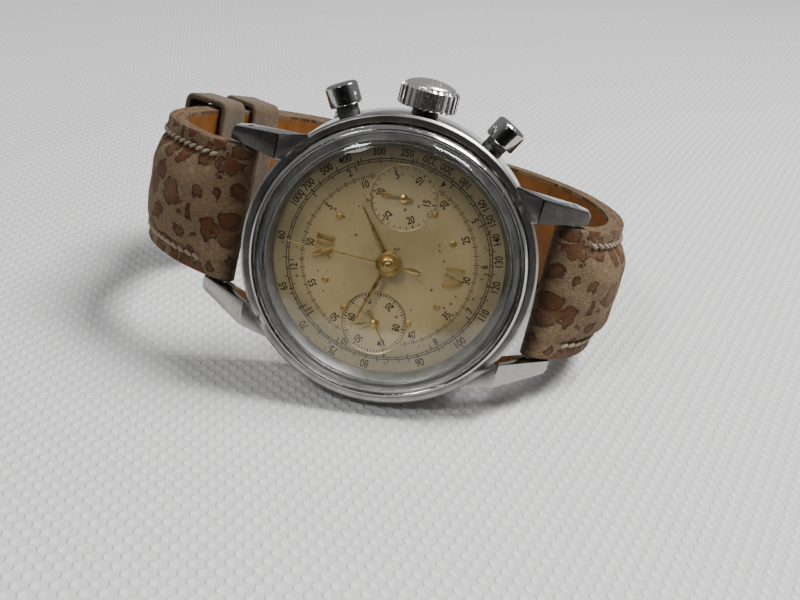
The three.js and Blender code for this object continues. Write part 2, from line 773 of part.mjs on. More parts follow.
// A toothed wheel on its arbor. Wheels sit at a level, which is the height of their lower face.
function wheel(radius, teeth, level, arborLow, arborHigh, extras = []) {
  const disk = plate(teethOutline(radius, teeth), level, level + WHEEL_THICKNESS);
  return carved(disk, [], [disc(ARBOR_RADIUS, arborLow, arborHigh, TINY), ...extras]);
}

function pinion(radius, level) {
  return disc(radius, level - 0.04, level + WHEEL_THICKNESS + 0.04, TINY);
}

function addWheel(name, geometry, at, look = brass) {
  add(name, geometry, look).position.set(at[0], at[1], 0);
}

const pivotTop = PLATE_TOP - 0.5;
const pivotLow = BRIDGE_BOTTOM + 0.1;

function pivotHoles(places, radius, low, high) {
  const hole = disc(holeFor(radius, RUNNING_GAP, TINY), low, high, TINY);
  return places.map(([x, y]) => moved(hole, x, y));
}

function mainPlate() {
  const cuts = pivotHoles([THIRD, ESCAPE, FORK, BALANCE, COUPLING], ARBOR_RADIUS, PLATE_BOTTOM - 1, 0);
  cuts.push(...pivotHoles([FOURTH, RECORDER], ARBOR_RADIUS, PLATE_BOTTOM - 1, 0));
  cuts.push(disc(holeFor(CANNON_RADIUS, RUNNING_GAP, SMALL), PLATE_BOTTOM - 1, 0, SMALL));
  cuts.push(moved(disc(BARREL_RADIUS + 0.3, PLATE_BOTTOM - 1, PLATE_BOTTOM + 0.8, MEDIUM), ...BARREL));
  cuts.push(moved(disc(ARBOR_RADIUS * 2 + RUNNING_GAP, PLATE_BOTTOM - 1, 0, SMALL), ...BARREL));
  const stemHole = disc(holeFor(STEM_RADIUS, RUNNING_GAP, SMALL), STEM_START - 1, caseBore + 1, SMALL);
  cuts.push(stemHole.applyMatrix4(radialFrame(0)));
  for (const angle of [PUSHER_ANGLE, -PUSHER_ANGLE]) {
    const way = disc(PUSHER_STEM_RADIUS + PUSHER_WAY_GAP, pusherInside, movementRadius + 1, SMALL);
    cuts.push(way.applyMatrix4(radialFrame(angle)));
  }
  const windingSlot = plate([
    [STEM_START + 0.4, -1.3],
    [STEM_START + 4, -1.3],
    [STEM_START + 4, 1.3],
    [STEM_START + 0.4, 1.3],
  ], PLATE_BOTTOM - 1, PLATE_TOP + 1);
  cuts.push(windingSlot);
  const minutePost = moved(disc(ARBOR_RADIUS, PLATE_TOP - 0.2, PLATE_TOP + 0.75, TINY), ...MINUTE_WHEEL);
  return carved(disc(movementRadius, PLATE_BOTTOM, PLATE_TOP, WIDE), cuts, [minutePost]);
}

function casingRing() {
  const outer = caseBore - STATIC_GAP;
  const low = CASE_BOTTOM + BACK_THREAD_HEIGHT + STATIC_GAP;
  const cuts = [];
  const stemWay = disc(STEM_RADIUS + 0.5, movementRadius - 1, CASE_RADIUS, SMALL);
  cuts.push(stemWay.applyMatrix4(radialFrame(0)));
  for (const angle of [PUSHER_ANGLE, -PUSHER_ANGLE]) {
    const way = disc(PUSHER_STEM_RADIUS + PUSHER_WAY_GAP, movementRadius - 1, CASE_RADIUS, SMALL);
    cuts.push(way.applyMatrix4(radialFrame(angle)));
  }
  const body = ring(movementRadius + STATIC_GAP, outer, low, -DIAL_THICKNESS - STATIC_GAP, WIDE);
  return carved(body, cuts);
}

// A bridge is a plate over the wheels with a foot that stands on the main plate near the rim.
function bridge(outline, footFrom, footTo, cuts) {
  const foot = [];
  const steps = 6;
  const [outer, inner] = [movementRadius - 0.2, movementRadius - 1.7];
  for (let i = 0; i <= steps; i += 1) {
    const angle = THREE.MathUtils.degToRad(footFrom + ((footTo - footFrom) * i) / steps);
    foot.push([outer * Math.cos(angle), outer * Math.sin(angle)]);
  }
  for (let i = steps; i >= 0; i -= 1) {
    const angle = THREE.MathUtils.degToRad(footFrom + ((footTo - footFrom) * i) / steps);
    foot.push([inner * Math.cos(angle), inner * Math.sin(angle)]);
  }
  const legs = plate(foot, BRIDGE_BOTTOM, PLATE_BOTTOM - STATIC_GAP);
  return carved(plate(outline, BRIDGE_BOTTOM, BRIDGE_TOP), cuts, [legs]);
}

function arc(radius, from, to, steps) {
  const points = [];
  for (let i = 0; i <= steps; i += 1) {
    const angle = THREE.MathUtils.degToRad(from + ((to - from) * i) / steps);
    points.push([radius * Math.cos(angle), radius * Math.sin(angle)]);
  }
  return points;
}

function barrelBridge() {
  const outline = [[1.4, -1.2], ...arc(movementRadius - 0.2, 12, 86, 8), [1, 6]];
  const cuts = pivotHoles([BARREL], ARBOR_RADIUS * 2, -8, 0);
  cuts.push(...pivotHoles([CROWN_WHEEL], ARBOR_RADIUS, -8, 0));
  cuts.push(disc(HOUR_PIPE_RADIUS, -8, 0, SMALL));
  return bridge(outline, 60, 80, cuts);
}

function trainBridge() {
  const outline = [[-0.6, 6.2], ...arc(movementRadius - 0.2, 96, 208, 10), [-5, -5.2], [-0.2, -1.6]];
  const cuts = pivotHoles([THIRD, FOURTH, ESCAPE, COUPLING], ARBOR_RADIUS, -8, 0);
  cuts.push(disc(HOUR_PIPE_RADIUS, -8, 0, SMALL));
  return bridge(outline, 120, 160, cuts);
}

function balanceCock() {
  const outline = [[-4.6, -7.4], ...arc(movementRadius - 0.2, 232, 290, 8), [1.4, -7.4]];
  return bridge(outline, 286, 300, pivotHoles([FORK, BALANCE], ARBOR_RADIUS, -8, 0));
}

function barrelDrum() {
  const low = LEVEL_MIDDLE - 0.15;
  const bore = holeFor(ARBOR_RADIUS * 2, RUNNING_GAP, SMALL);
  const drum = ring(bore, BARREL_RADIUS - TOOTH_DEPTH, low, PLATE_BOTTOM + 0.6, MEDIUM);
  const eye = circle(1, SMALL).reverse();
  const teeth = plate(teethOutline(BARREL_RADIUS, 32), low, low + WHEEL_THICKNESS, [eye]);
  return carved(drum, [], [teeth]);
}

function ratchetWheel() {
  const arborReach = disc(ARBOR_RADIUS * 2, LEVEL_WINDING, PLATE_TOP - 0.1, SMALL);
  const disk = plate(teethOutline(3.35, 24), LEVEL_WINDING - WHEEL_THICKNESS, LEVEL_WINDING);
  return carved(disk, [], [arborReach]);
}

function crownWheel() {
  const pin = disc(ARBOR_RADIUS, LEVEL_WINDING, BRIDGE_TOP - 0.1, TINY);
  return carved(plate(teethOutline(1.9, 16), LEVEL_WINDING - WHEEL_THICKNESS, LEVEL_WINDING), [], [pin]);
}

function centreWheel() {
  const tubeOuter = HOUR_PIPE_RADIUS - RUNNING_GAP - 0.05;
  const bore = holeFor(ARBOR_RADIUS, RUNNING_GAP, SMALL);
  const disk = plate(teethOutline(4.75, 32), LEVEL_HIGH, LEVEL_HIGH + WHEEL_THICKNESS);
  const tube = disc(tubeOuter, pivotLow, PLATE_BOTTOM - 0.1, SMALL);
  return carved(disk, [disc(bore, -8, 0, SMALL)], [tube]);
}

function balanceWheel() {
  const rimRadius = 4.2;
  const rim = ring(rimRadius - 0.6, rimRadius, -4.25, -3.85, MEDIUM);
  const arm = plate([
    [-rimRadius + 0.3, -0.25],
    [rimRadius - 0.3, -0.25],
    [rimRadius - 0.3, 0.25],
    [-rimRadius + 0.3, 0.25],
  ], -4.2, -3.95);
  const staff = disc(ARBOR_RADIUS, pivotLow, pivotTop, TINY);
  const roller = disc(0.7, -3.75, -3.6, SMALL);
  return carved(rim, [], [arm, staff, roller]);
}

function hairspring() {
  // A flat spiral strip below the balance cock.
  const inner = [];
  const outer = [];
  const turns = 3;
  const steps = 12 * turns;
  for (let i = 0; i <= steps; i += 1) {
    const angle = (2 * Math.PI * i) / 12;
    const radius = 0.6 + (1.7 * i) / steps;
    inner.push([radius * Math.cos(angle), radius * Math.sin(angle)]);
    outer.push([(radius + 0.09) * Math.cos(angle), (radius + 0.09) * Math.sin(angle)]);
  }
  return plate([...inner, ...outer.reverse()], -4.75, -4.5);
}

function palletFork() {
  const anchor = plate([
    [-1.5, 0.9],
    [-1.1, 1.1],
    [0, 0.35],
    [1.1, 1.1],
    [1.5, 0.9],
    [0.25, -0.2],
    [0.2, -3.4],
    [-0.2, -3.4],
    [-0.25, -0.2],
  ], LEVEL_LOW + 0.02, LEVEL_LOW + 0.2);
  return carved(anchor, [], [disc(ARBOR_RADIUS, pivotLow, pivotTop, TINY)]);
}

function columnWheel() {
  const teeth = plate(teethOutline(1.5, 12), LEVEL_WINDING - 0.1, LEVEL_WINDING + 0.1);
  const columns = [];
  for (let i = 0; i < 6; i += 1) {
    const angle = (Math.PI * i) / 3;
    const column = disc(0.25, LEVEL_CHRONO - 0.15, LEVEL_WINDING, TINY);
    columns.push(moved(column, 0.85 * Math.cos(angle), 0.85 * Math.sin(angle)));
  }
  return carved(teeth, [], columns);
}

// A chronograph lever: a flat arm from its pivot to the pusher's end and to the piece it works on.
function lever(pivot, tail, nose) {
  const level = LEVEL_CHRONO + 0.35;
  const arms = [];
  for (const [x, y] of [tail, nose]) {
    arms.push(stroke([0, 0], [x - pivot[0], y - pivot[1]], 0.8).translate(0, 0, level - STATIC_GAP));
  }
  const boss = disc(0.7, level, level + 0.3, SMALL);
  return carved(boss, [disc(0.3, -8, 0, TINY)], arms);
}

const leverTail = caseBore - MOVEMENT_WALL - PUSHER_TRAVEL - 0.6;

function pusherEnd(sign) {
  const angle = sign * PUSHER_ANGLE;
  return [leverTail * Math.cos(angle), leverTail * Math.sin(angle)];
}

add('casing_ring', casingRing(), brass);
add('main_plate', mainPlate(), rhodium);
add('barrel_bridge', barrelBridge(), rhodium);
add('train_bridge', trainBridge(), rhodium);
add('balance_cock', balanceCock(), rhodium);
addWheel('barrel', barrelDrum(), BARREL);
addWheel('ratchet_wheel', ratchetWheel(), BARREL, steel);
addWheel('crown_wheel', crownWheel(), CROWN_WHEEL, steel);
addWheel('centre_wheel', centreWheel(), CENTRE);
addWheel('third_wheel', wheel(3.95, 26, LEVEL_LOW, pivotLow, pivotTop, [pinion(0.9, LEVEL_HIGH)]), THIRD);
const driver = plate(teethOutline(2.8, 20), LEVEL_CHRONO, LEVEL_CHRONO + WHEEL_THICKNESS);
const secondsArborTop = subHandHeight + 2 * HAND_THICKNESS + 0.05;
const fourthExtras = [pinion(0.5, LEVEL_LOW), driver];
addWheel('fourth_wheel', wheel(3.6, 26, LEVEL_MIDDLE, LEVEL_CHRONO, secondsArborTop, fourthExtras), FOURTH);
const escapeWheel = wheel(2.5, 15, LEVEL_LOW, pivotLow, pivotTop, [pinion(0.4, LEVEL_MIDDLE)]);
addWheel('escape_wheel', escapeWheel, ESCAPE, steel);
const forkMesh = add('pallet_fork', palletFork(), steel);
forkMesh.position.set(FORK[0], FORK[1], 0);
forkMesh.rotation.z = Math.atan2(BALANCE[1] - FORK[1], BALANCE[0] - FORK[0]) + Math.PI / 2;
addWheel('balance_wheel', balanceWheel(), BALANCE);
addWheel('hairspring', hairspring(), BALANCE, steel);
addWheel('coupling_wheel', wheel(1.05, 12, LEVEL_CHRONO, LEVEL_CHRONO, pivotTop), COUPLING);
const chronoFoot = LEVEL_CHRONO - 0.2;
addWheel('chronograph_wheel', wheel(4.3, 30, LEVEL_CHRONO, chronoFoot, secondsHandHeight + 0.3), CENTRE);
addWheel('minute_recorder_wheel', wheel(3.35, 24, LEVEL_CHRONO, chronoFoot, secondsArborTop), RECORDER);
addWheel('column_wheel', columnWheel(), COLUMN, steel);
addWheel('start_lever', lever(START_PIVOT, pusherEnd(1), [5.4, 10.9]), START_PIVOT, steel);
addWheel('reset_hammer', lever(RESET_PIVOT, pusherEnd(-1), [5.2, -5.6]), RESET_PIVOT, steel);

// Motion work between the main plate and the dial.
function cannonPinion() {
  const bore = holeFor(CANNON_BORE, 0, SMALL);
  const top = minuteHandHeight + HAND_THICKNESS + 0.05;
  return turned([
    [bore, PLATE_BOTTOM + 0.1],
    [CANNON_RADIUS, PLATE_BOTTOM + 0.1],
    [CANNON_RADIUS, top],
    [bore, top],
  ], SMALL);
}

function hourWheel() {
  const level = PLATE_TOP + 0.45;
  const bore = holeFor(CANNON_RADIUS, 0.05, SMALL);
  const pipe = disc(HOUR_PIPE_RADIUS, level, hourHandHeight + HAND_THICKNESS + 0.05, SMALL);
  const disk = plate(teethOutline(2.3, 20), level, level + WHEEL_THICKNESS);
  return carved(disk, [disc(bore, -3, 3, SMALL)], [pipe]);
}

function minuteWheel() {
  const level = PLATE_TOP + 0.1;
  const bore = holeFor(ARBOR_RADIUS, RUNNING_GAP, TINY);
  const disk = plate(teethOutline(2.2, 20), level, level + WHEEL_THICKNESS);
  return carved(disk, [disc(bore, -3, 3, TINY)], [disc(0.75, level, PLATE_TOP + 0.8, SMALL)]);
}

add('cannon_pinion', cannonPinion(), steel);
add('hour_wheel', hourWheel(), brass);
addWheel('minute_wheel', minuteWheel(), MINUTE_WHEEL);

// ---------------------------------------------------------------- strap
// Routes lie in the watch's y-z plane. The buckle half runs from the bar at twelve o'clock.
const outTwelve = barPlace + LOOP_OUT_TWELVE;
const outSix = barPlace + LOOP_OUT_SIX;
const buckleDepth = -(LOOP_DEPTH - 2);

function route(points) {
  return new THREE.CatmullRomCurve3(points.map(([y, z]) => new THREE.Vector3(0, y, z)), false, 'centripetal');
}

const buckleRoute = route([
  [barPlace - STRAP_END_ROUND, BAR_HEIGHT],
  [barPlace, BAR_HEIGHT],
  [barPlace + 6.6, BAR_HEIGHT - 3],
  [outTwelve - 0.6, BAR_HEIGHT - 10],
  [outTwelve, BAR_HEIGHT - 18],
  [outTwelve - 2.9, buckleDepth + 14.5],
  [outTwelve - 8, buckleDepth + 6.6],
  [BUCKLE_PLACE + 4.6, buckleDepth + 1.2],
  [BUCKLE_PLACE, buckleDepth],
]);

// Tangent and outward normal of a route at a distance along it. side is 1 or -1.
function stationAt(curve, distance, side) {
  const share = THREE.MathUtils.clamp(distance / curve.getLength(), 0, 1);
  const point = curve.getPointAt(share);
  const tangent = curve.getTangentAt(share);
  const out = new THREE.Vector3(0, -tangent.z * side, tangent.y * side);
  return { point, tangent, out };
}

// Thickness of the padding above the middle layer, from the bar outwards.
function crownHeight(distance) {
  if (distance < PADDING_PEAK) {
    const share = THREE.MathUtils.smoothstep(distance, 0, PADDING_PEAK);
    return THREE.MathUtils.lerp(STRAP_END_ROUND, STRAP_PADDING, share);
  }
  const fall = THREE.MathUtils.smoothstep(distance, PADDING_PEAK, PADDING_END);
  return THREE.MathUtils.lerp(STRAP_PADDING, STRAP_FLAT, fall);
}

function marginHeight(distance) {
  const share = THREE.MathUtils.smoothstep(distance, 0, PADDING_PEAK);
  return THREE.MathUtils.lerp(STRAP_END_ROUND, STRAP_MARGIN, share);
}

function innerDepth(distance) {
  const share = THREE.MathUtils.smoothstep(distance, 0, PADDING_PEAK);
  return THREE.MathUtils.lerp(STRAP_END_ROUND, STRAP_INNER, share);
}

function strapSection(width, distance) {
  const reach = width / 2;
  const shoulder = Math.max(reach - MARGIN_WIDTH, 0.4);
  const crest = Math.max(shoulder - 1.6, 0.2);
  const low = -innerDepth(distance);
  const margin = marginHeight(distance);
  const crown = crownHeight(distance);
  return [
    [-reach, low + 0.3],
    [-reach + 0.3, low],
    [reach - 0.3, low],
    [reach, low + 0.3],
    [reach, margin],
    [shoulder, margin + (crown - margin) * 0.3],
    [crest, crown],
    [-crest, crown],
    [-shoulder, margin + (crown - margin) * 0.3],
    [-reach, margin],
  ];
}

function strapSolid(curve, side, stations, widthAt) {
  const positions = [];
  const index = [];
  const length = curve.getLength();
  let count = 0;
  for (const distance of stations) {
    const { point, out } = stationAt(curve, distance, side);
    const outline = strapSection(widthAt(distance, length), distance);
    count = outline.length;
    for (const [x, rise] of outline) {
      positions.push(x, point.y + out.y * rise, point.z + out.z * rise);
    }
  }
  for (let row = 0; row + 1 < stations.length; row += 1) {
    for (let i = 0; i < count; i += 1) {
      const [a, b] = [row * count + i, row * count + ((i + 1) % count)];
      index.push(a, b, b + count, a, b + count, a + count);
    }
  }
  const last = (stations.length - 1) * count;
  for (let i = 1; i + 1 < count; i += 1) {
    index.push(0, i + 1, i);
    index.push(last, last + i, last + i + 1);
  }
  const geometry = new THREE.BufferGeometry();
  geometry.setAttribute('position', new THREE.Float32BufferAttribute(positions, 3));
  geometry.setIndex(index);
  return closed(geometry);
}

function evenStations(length, count) {
  return Array.from({ length: count + 1 }, (_, i) => (length * i) / count);
}

// A round tunnel through the strap's width for a bar.
function barTunnel(y, z, radius) {
  const tunnel = disc(radius, -STRAP_WIDTH, STRAP_WIDTH, SMALL).rotateY(Math.PI / 2);
  return moved(tunnel, 0, y, z);
}

// The buckle's frame of reference: t runs along the strap away from the buckle half, n outwards.
const buckleLength = buckleRoute.getLength();
const buckleEnd = stationAt(buckleRoute, buckleLength, 1);
const buckleT = buckleEnd.tangent;
const buckleN = buckleEnd.out;
const bar = buckleEnd.point;

function buckleSpot(t, n) {
  return [bar.y + buckleT.y * t + buckleN.y * n, bar.z + buckleT.z * t + buckleN.z * n];
}

function buckleOutline(points) {
  return points.map(([t, n]) => buckleSpot(t, n));
}

function taper(distance, length) {
  return THREE.MathUtils.lerp(STRAP_WIDTH, BUCKLE_END_WIDTH, Math.min(distance / length, 1));
}

const barEndRound = 1.6;

function buckleHalf() {
  const stations = evenStations(buckleLength, 18);
  const strap = strapSolid(buckleRoute, 1, stations, taper);
  const end = slab(circle(barEndRound, SMALL, buckleSpot(0, 0)), -BUCKLE_END_WIDTH / 2, BUCKLE_END_WIDTH / 2);
  const tongueSlot = slab(buckleOutline([[-3.4, -3], [4, -3], [4, 3], [-3.4, 3]]), -1.5, 1.5);
  const cuts = [
    barTunnel(barPlace, BAR_HEIGHT, BAR_RADIUS + STRAP_GAP * 0.7),
    barTunnel(bar.y, bar.z, BUCKLE_BAR_RADIUS + STRAP_GAP * 0.5),
    tongueSlot,
  ];
  return carved(strap, cuts, [end]);
}

// The tail half runs from the bar at six o'clock, under the buckle's far bar, and back over the buckle half.
const tailOffset = STRAP_FLAT + STRAP_INNER + STRAP_GAP;
const underFrame = buckleSpot(BUCKLE_REACH, BUCKLE_LIFT - BUCKLE_WIRE / 2 - STRAP_GAP * 3 - STRAP_FLAT);
const overBar = buckleSpot(-0.4, barEndRound + STRAP_GAP + STRAP_INNER);
const overlapPoints = [];
for (let i = 1; i <= 5; i += 1) {
  const distance = buckleLength - 2.5 - ((TAIL_OVERLAP - 2.5) * i) / 5;
  const { point, out } = stationAt(buckleRoute, distance, 1);
  const away = Math.max(crownHeight(distance) + STRAP_INNER + STRAP_GAP, tailOffset);
  overlapPoints.push([point.y + out.y * away, point.z + out.z * away]);
}

const tailRoute = route([
  [-(barPlace - STRAP_END_ROUND), BAR_HEIGHT],
  [-barPlace, BAR_HEIGHT],
  [-(barPlace + 4.6), BAR_HEIGHT - 3.6],
  [-(outSix - 0.3), BAR_HEIGHT - 11.5],
  [-(outSix - 0.6), -LOOP_DEPTH + 22],
  [-(outSix - 4.8), -LOOP_DEPTH + 11],
  [-(outSix - 13.5), -LOOP_DEPTH + 3],
  [-4, -LOOP_DEPTH + 0.2],
  underFrame,
  overBar,
  ...overlapPoints,
]);
const tailLength = tailRoute.getLength();

function distanceTo(curve, [y, z]) {
  let [best, place] = [Infinity, 0];
  const length = curve.getLength();
  for (let i = 0; i <= 400; i += 1) {
    const point = curve.getPointAt(i / 400);
    const gap = Math.hypot(point.y - y, point.z - z);
    if (gap < best) [best, place] = [gap, (length * i) / 400];
  }
  return place;
}

function tailWidth(distance, length) {
  const narrowing = taper(distance, length * 0.75);
  const left = length - distance;
  if (left > 6) return narrowing;
  return narrowing * Math.sqrt(Math.max(1 - ((6 - left) / 6.4) ** 2, 0.1));
}

function tailHalf() {
  const body = evenStations(tailLength - 6, 30);
  const tip = [4, 2, 0.7, 0].map((left) => tailLength - left);
  const strap = strapSolid(tailRoute, -1, [...body, ...tip], tailWidth);
  const usedHole = distanceTo(tailRoute, buckleSpot(3.4, 1.7));
  const cuts = [barTunnel(-barPlace, BAR_HEIGHT, BAR_RADIUS + STRAP_GAP * 0.7)];
  cuts.push(slab(buckleOutline([[-0.4, -1.5], [6.4, -1.5], [6.4, 5.5], [-0.4, 5.5]]), -1.2, 1.2));
  for (const step of [-2, -1, 1, 2]) {
    const { point, tangent, out } = stationAt(tailRoute, usedHole + step * HOLE_PITCH, -1);
    const across = new THREE.Vector3().crossVectors(tangent, out);
    const frame = new THREE.Matrix4().makeBasis(across, tangent, out).setPosition(point);
    cuts.push(closed(disc(HOLE_RADIUS, -3, 3, TINY).applyMatrix4(frame)));
  }
  return carved(strap, cuts);
}

function buckleSpringBar() {
  const reach = BUCKLE_END_WIDTH / 2 + 1.2;
  const shoulder = BUCKLE_END_WIDTH / 2 + 0.1;
  const shaft = turned([
    [0, -reach],
    [BAR_TIP_RADIUS, -reach],
    [BAR_TIP_RADIUS, -shoulder],
    [BUCKLE_BAR_RADIUS, -shoulder],
    [BUCKLE_BAR_RADIUS, shoulder],
    [BAR_TIP_RADIUS, shoulder],
    [BAR_TIP_RADIUS, reach],
    [0, reach],
  ], TINY).rotateY(Math.PI / 2);
  return moved(shaft, 0, bar.y, bar.z);
}

function buckleFrame() {
  const inner = BUCKLE_END_WIDTH / 2 + STRAP_GAP;
  const outer = inner + BUCKLE_WIRE;
  const thick = BUCKLE_WIRE / 2;
  const slope = Math.atan2(BUCKLE_LIFT, BUCKLE_REACH);
  const [st, sn] = [Math.sin(slope) * thick, Math.cos(slope) * thick];
  const far = [BUCKLE_REACH + thick * Math.cos(slope), BUCKLE_LIFT + thick * Math.sin(slope)];
  const back = [-1.2 * Math.cos(slope), -1.2 * Math.sin(slope)];
  const side = buckleOutline([
    [back[0] + st, back[1] - sn],
    [far[0] + st, far[1] - sn],
    [far[0] - st, far[1] + sn],
    [back[0] - st, back[1] + sn],
  ]);
  const start = BUCKLE_REACH - thick * Math.cos(slope);
  const opening = buckleOutline([[-6, -4], [start - 0.02, -4], [start - 0.02, 8], [-6, 8]]);
  const pinHole = disc(BAR_TIP_RADIUS + 0.06, -outer - 1, outer + 1, TINY).rotateY(Math.PI / 2);
  return carved(slab(side, -outer, outer), [slab(opening, -inner, inner), moved(pinHole, 0, bar.y, bar.z)]);
}

function buckleTongue() {
  const ringRadius = BUCKLE_BAR_RADIUS + RUNNING_GAP + 0.55;
  const tip = [BUCKLE_REACH + 0.9, BUCKLE_LIFT + BUCKLE_WIRE / 2 + TONGUE_THICKNESS / 2 + 0.25];
  const root = [0.9, 0.45];
  const half = TONGUE_THICKNESS / 2;
  const prong = slab(buckleOutline([
    [root[0], root[1] - half],
    [tip[0] - 1.6, tip[1] - half],
    [tip[0], tip[1] - half],
    [tip[0], tip[1] + half * 0.4],
    [tip[0] - 1.8, tip[1] + half],
    [root[0], root[1] + half],
  ]), -TONGUE_WIDTH / 2, TONGUE_WIDTH / 2);
  const eye = slab(circle(ringRadius, SMALL, buckleSpot(0, 0)), -TONGUE_WIDTH / 2, TONGUE_WIDTH / 2);
  const hole = barTunnel(bar.y, bar.z, holeFor(BUCKLE_BAR_RADIUS, RUNNING_GAP, SMALL));
  return carved(prong, [hole], [eye]);
}

// A keeper is a flat leather band round both layers of the strap.
function keeper(place) {
  const { point, tangent, out } = stationAt(buckleRoute, place, 1);
  const reach = taper(place, buckleLength) / 2 + STRAP_GAP * 1.3;
  const low = -STRAP_INNER - STRAP_GAP * 1.5;
  const high = tailOffset + STRAP_FLAT + STRAP_GAP * 1.6;
  const corner = KEEPER_WALL * 0.7;
  const [wide, under, over] = [reach + KEEPER_WALL, low - KEEPER_WALL, high + KEEPER_WALL];
  const outer = [
    [-wide, under + corner],
    [-wide + corner, under],
    [wide - corner, under],
    [wide, under + corner],
    [wide, over - corner],
    [wide - corner, over],
    [-wide + corner, over],
    [-wide, over - corner],
  ];
  const inside = [[-reach, low], [-reach, high], [reach, high], [reach, low]];
  const band = plate(outer, -KEEPER_LENGTH / 2, KEEPER_LENGTH / 2, [inside]);
  const frame = new THREE.Matrix4().makeBasis(new THREE.Vector3(1, 0, 0), out, tangent).setPosition(point);
  return closed(band.applyMatrix4(frame));
}

add('strap_buckle_half', buckleHalf(), leather);
add('strap_tail_half', tailHalf(), leather);
add('buckle_frame', buckleFrame(), polished);
add('buckle_tongue', buckleTongue(), polished);
add('buckle_spring_bar', buckleSpringBar(), steel);
add('fixed_keeper', keeper(FIXED_KEEPER_PLACE), keeperLeather);
add('free_keeper', keeper(FREE_KEEPER_PLACE), keeperLeather);

// ---------------------------------------------------------------- standing on the table
rest.updateMatrixWorld(true);
const extent = new THREE.Box3().setFromObject(rest, true);
const middle = extent.getCenter(new THREE.Vector3());
rest.position.set(-middle.x, -middle.y, -extent.min.z);

const wristwatch = new THREE.Group();
wristwatch.name = 'chronograph_wristwatch';
wristwatch.add(rest);

export default wristwatch;
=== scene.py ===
"""A two-register chronograph wristwatch on a leather strap, standing on its side with the strap buckled.

Pieces are modelled in millimetres in the watch's own frame: x points to three o'clock, y to twelve,
z out of the dial, and z = 0 is the dial's face. settle() then puts each one in its place on the table.
"""

import math

import bpy
from mathutils import Matrix, Quaternion, Vector


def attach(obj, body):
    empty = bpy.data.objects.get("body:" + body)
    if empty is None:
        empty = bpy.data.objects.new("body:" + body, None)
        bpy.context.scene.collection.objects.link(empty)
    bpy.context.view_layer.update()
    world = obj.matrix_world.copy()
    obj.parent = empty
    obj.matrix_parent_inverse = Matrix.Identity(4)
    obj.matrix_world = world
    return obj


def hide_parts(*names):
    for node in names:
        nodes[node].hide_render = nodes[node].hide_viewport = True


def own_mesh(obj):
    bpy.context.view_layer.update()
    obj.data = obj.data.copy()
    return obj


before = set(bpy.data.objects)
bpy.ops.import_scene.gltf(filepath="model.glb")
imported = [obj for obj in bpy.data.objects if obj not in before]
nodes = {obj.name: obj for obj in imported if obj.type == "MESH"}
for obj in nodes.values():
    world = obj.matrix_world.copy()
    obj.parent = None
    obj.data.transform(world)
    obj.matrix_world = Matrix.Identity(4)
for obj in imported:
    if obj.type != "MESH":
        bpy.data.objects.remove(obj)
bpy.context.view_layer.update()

# ------------------------------------------------------------------ sizes, in millimetres
MM = 0.001
WELD = 0.002
REST_TILT = math.radians(10.29)
REST_ROLL = math.radians(7.2)
REHAUT_FOOT = 0.06

CASE_RADIUS = 18.0
CASE_BORE = 15.1
CASE_TOP = 1.5
CASE_BOTTOM = -5.6
SEAT_TOP = 0.9
BEZEL_OUTER = 16.75
BEZEL_INNER = 15.96
GROOVE = 0.2
LUG_INNER = 9.05
LUG_WIDTH = 1.8
LUG_ROOT = 4.1
LUG_END = 22.8
LUG_TIP_TOP = -3.4
LUG_TIP_BOTTOM = -6.9
BAR_PLACE = 20.5
BAR_HEIGHT = -5.0
CRYSTAL_OUTER = 15.84
CRYSTAL_INNER = 14.74
BACK_RADIUS = 16.6
BACK_FACE = -7.9
STEM_HEIGHT = -2.3
CROWN_BASE = 18.9
CROWN_RADIUS = 3.6
CROWN_FLUTES = 28
BUTTON_ANGLE = math.radians(29)
BUTTON_BASE = 19.2
DIAL_RADIUS = 15.04
DIAL_THICKNESS = 0.4
SUBDIAL_PLACE = 8.0
SUBDIAL_RADIUS = 3.9
SUBDIAL_DEPTH = 0.15
MARKER_RADIUS = 8.1
HAND_THICKNESS = 0.15
HOUR_HAND_ANGLE = 53
MINUTE_HAND_ANGLE = 286
SECONDS_HAND_ANGLE = 0
RUNNING_HAND_ANGLE = 235
HOUR_HAND_HEIGHT = 0.55
MINUTE_HAND_HEIGHT = 1.05
SECONDS_HAND_HEIGHT = 1.55
SUBHAND_HEIGHT = 0.17

STRAP_WIDTH = 17.5
BUCKLE_END_WIDTH = 16.0
STRAP_INNER = 1.2
STRAP_MARGIN = 1.0
STRAP_PADDING = 3.0
STRAP_FLAT = 1.1
STRAP_END_ROUND = 1.65
MARGIN_WIDTH = 2.5
PADDING_PEAK = 11.0
PADDING_END = 24.0
LOOP_DEPTH = 49.5
OUT_TWELVE = 32.8
OUT_SIX = 28.3
BUCKLE_PLACE = 14.0
BUCKLE_REACH = 8.2
BUCKLE_LIFT = 2.9
BUCKLE_WIRE = 1.7
BUCKLE_BAR_RADIUS = 0.75
STRAP_GAP = 0.3
TAIL_OVERLAP = 29.0
KEEPER_LENGTH = 5.0
KEEPER_WALL = 0.8
FIXED_KEEPER_PLACE = 43.5
FREE_KEEPER_PLACE = 35.7
TONGUE_WIDTH = 1.8
TONGUE_THICKNESS = 0.9

ROUND = 192
FINE = 96
COARSE = 48

CAMERA_PLACE = (0.010544, -0.145542, 0.073675)
CAMERA_AIM = (0.004881, -0.025927, 0.014437)
CAMERA_ROLL = math.radians(5.88)
CAMERA_LENS = 49.5


# ------------------------------------------------------------------ camera, floor and light
def set_camera():
    bpy.ops.object.camera_add(location=CAMERA_PLACE)
    camera = bpy.context.object
    camera.name = "camera"
    camera.data.lens = CAMERA_LENS
    camera.data.sensor_width = 36
    camera.data.clip_start = 0.005
    camera.data.clip_end = 20
    ahead = Vector(CAMERA_AIM) - Vector(CAMERA_PLACE)
    turn = ahead.to_track_quat("-Z", "Y") @ Quaternion((0, 0, 1), CAMERA_ROLL)
    camera.rotation_euler = turn.to_euler()
    bpy.context.scene.camera = camera


set_camera()


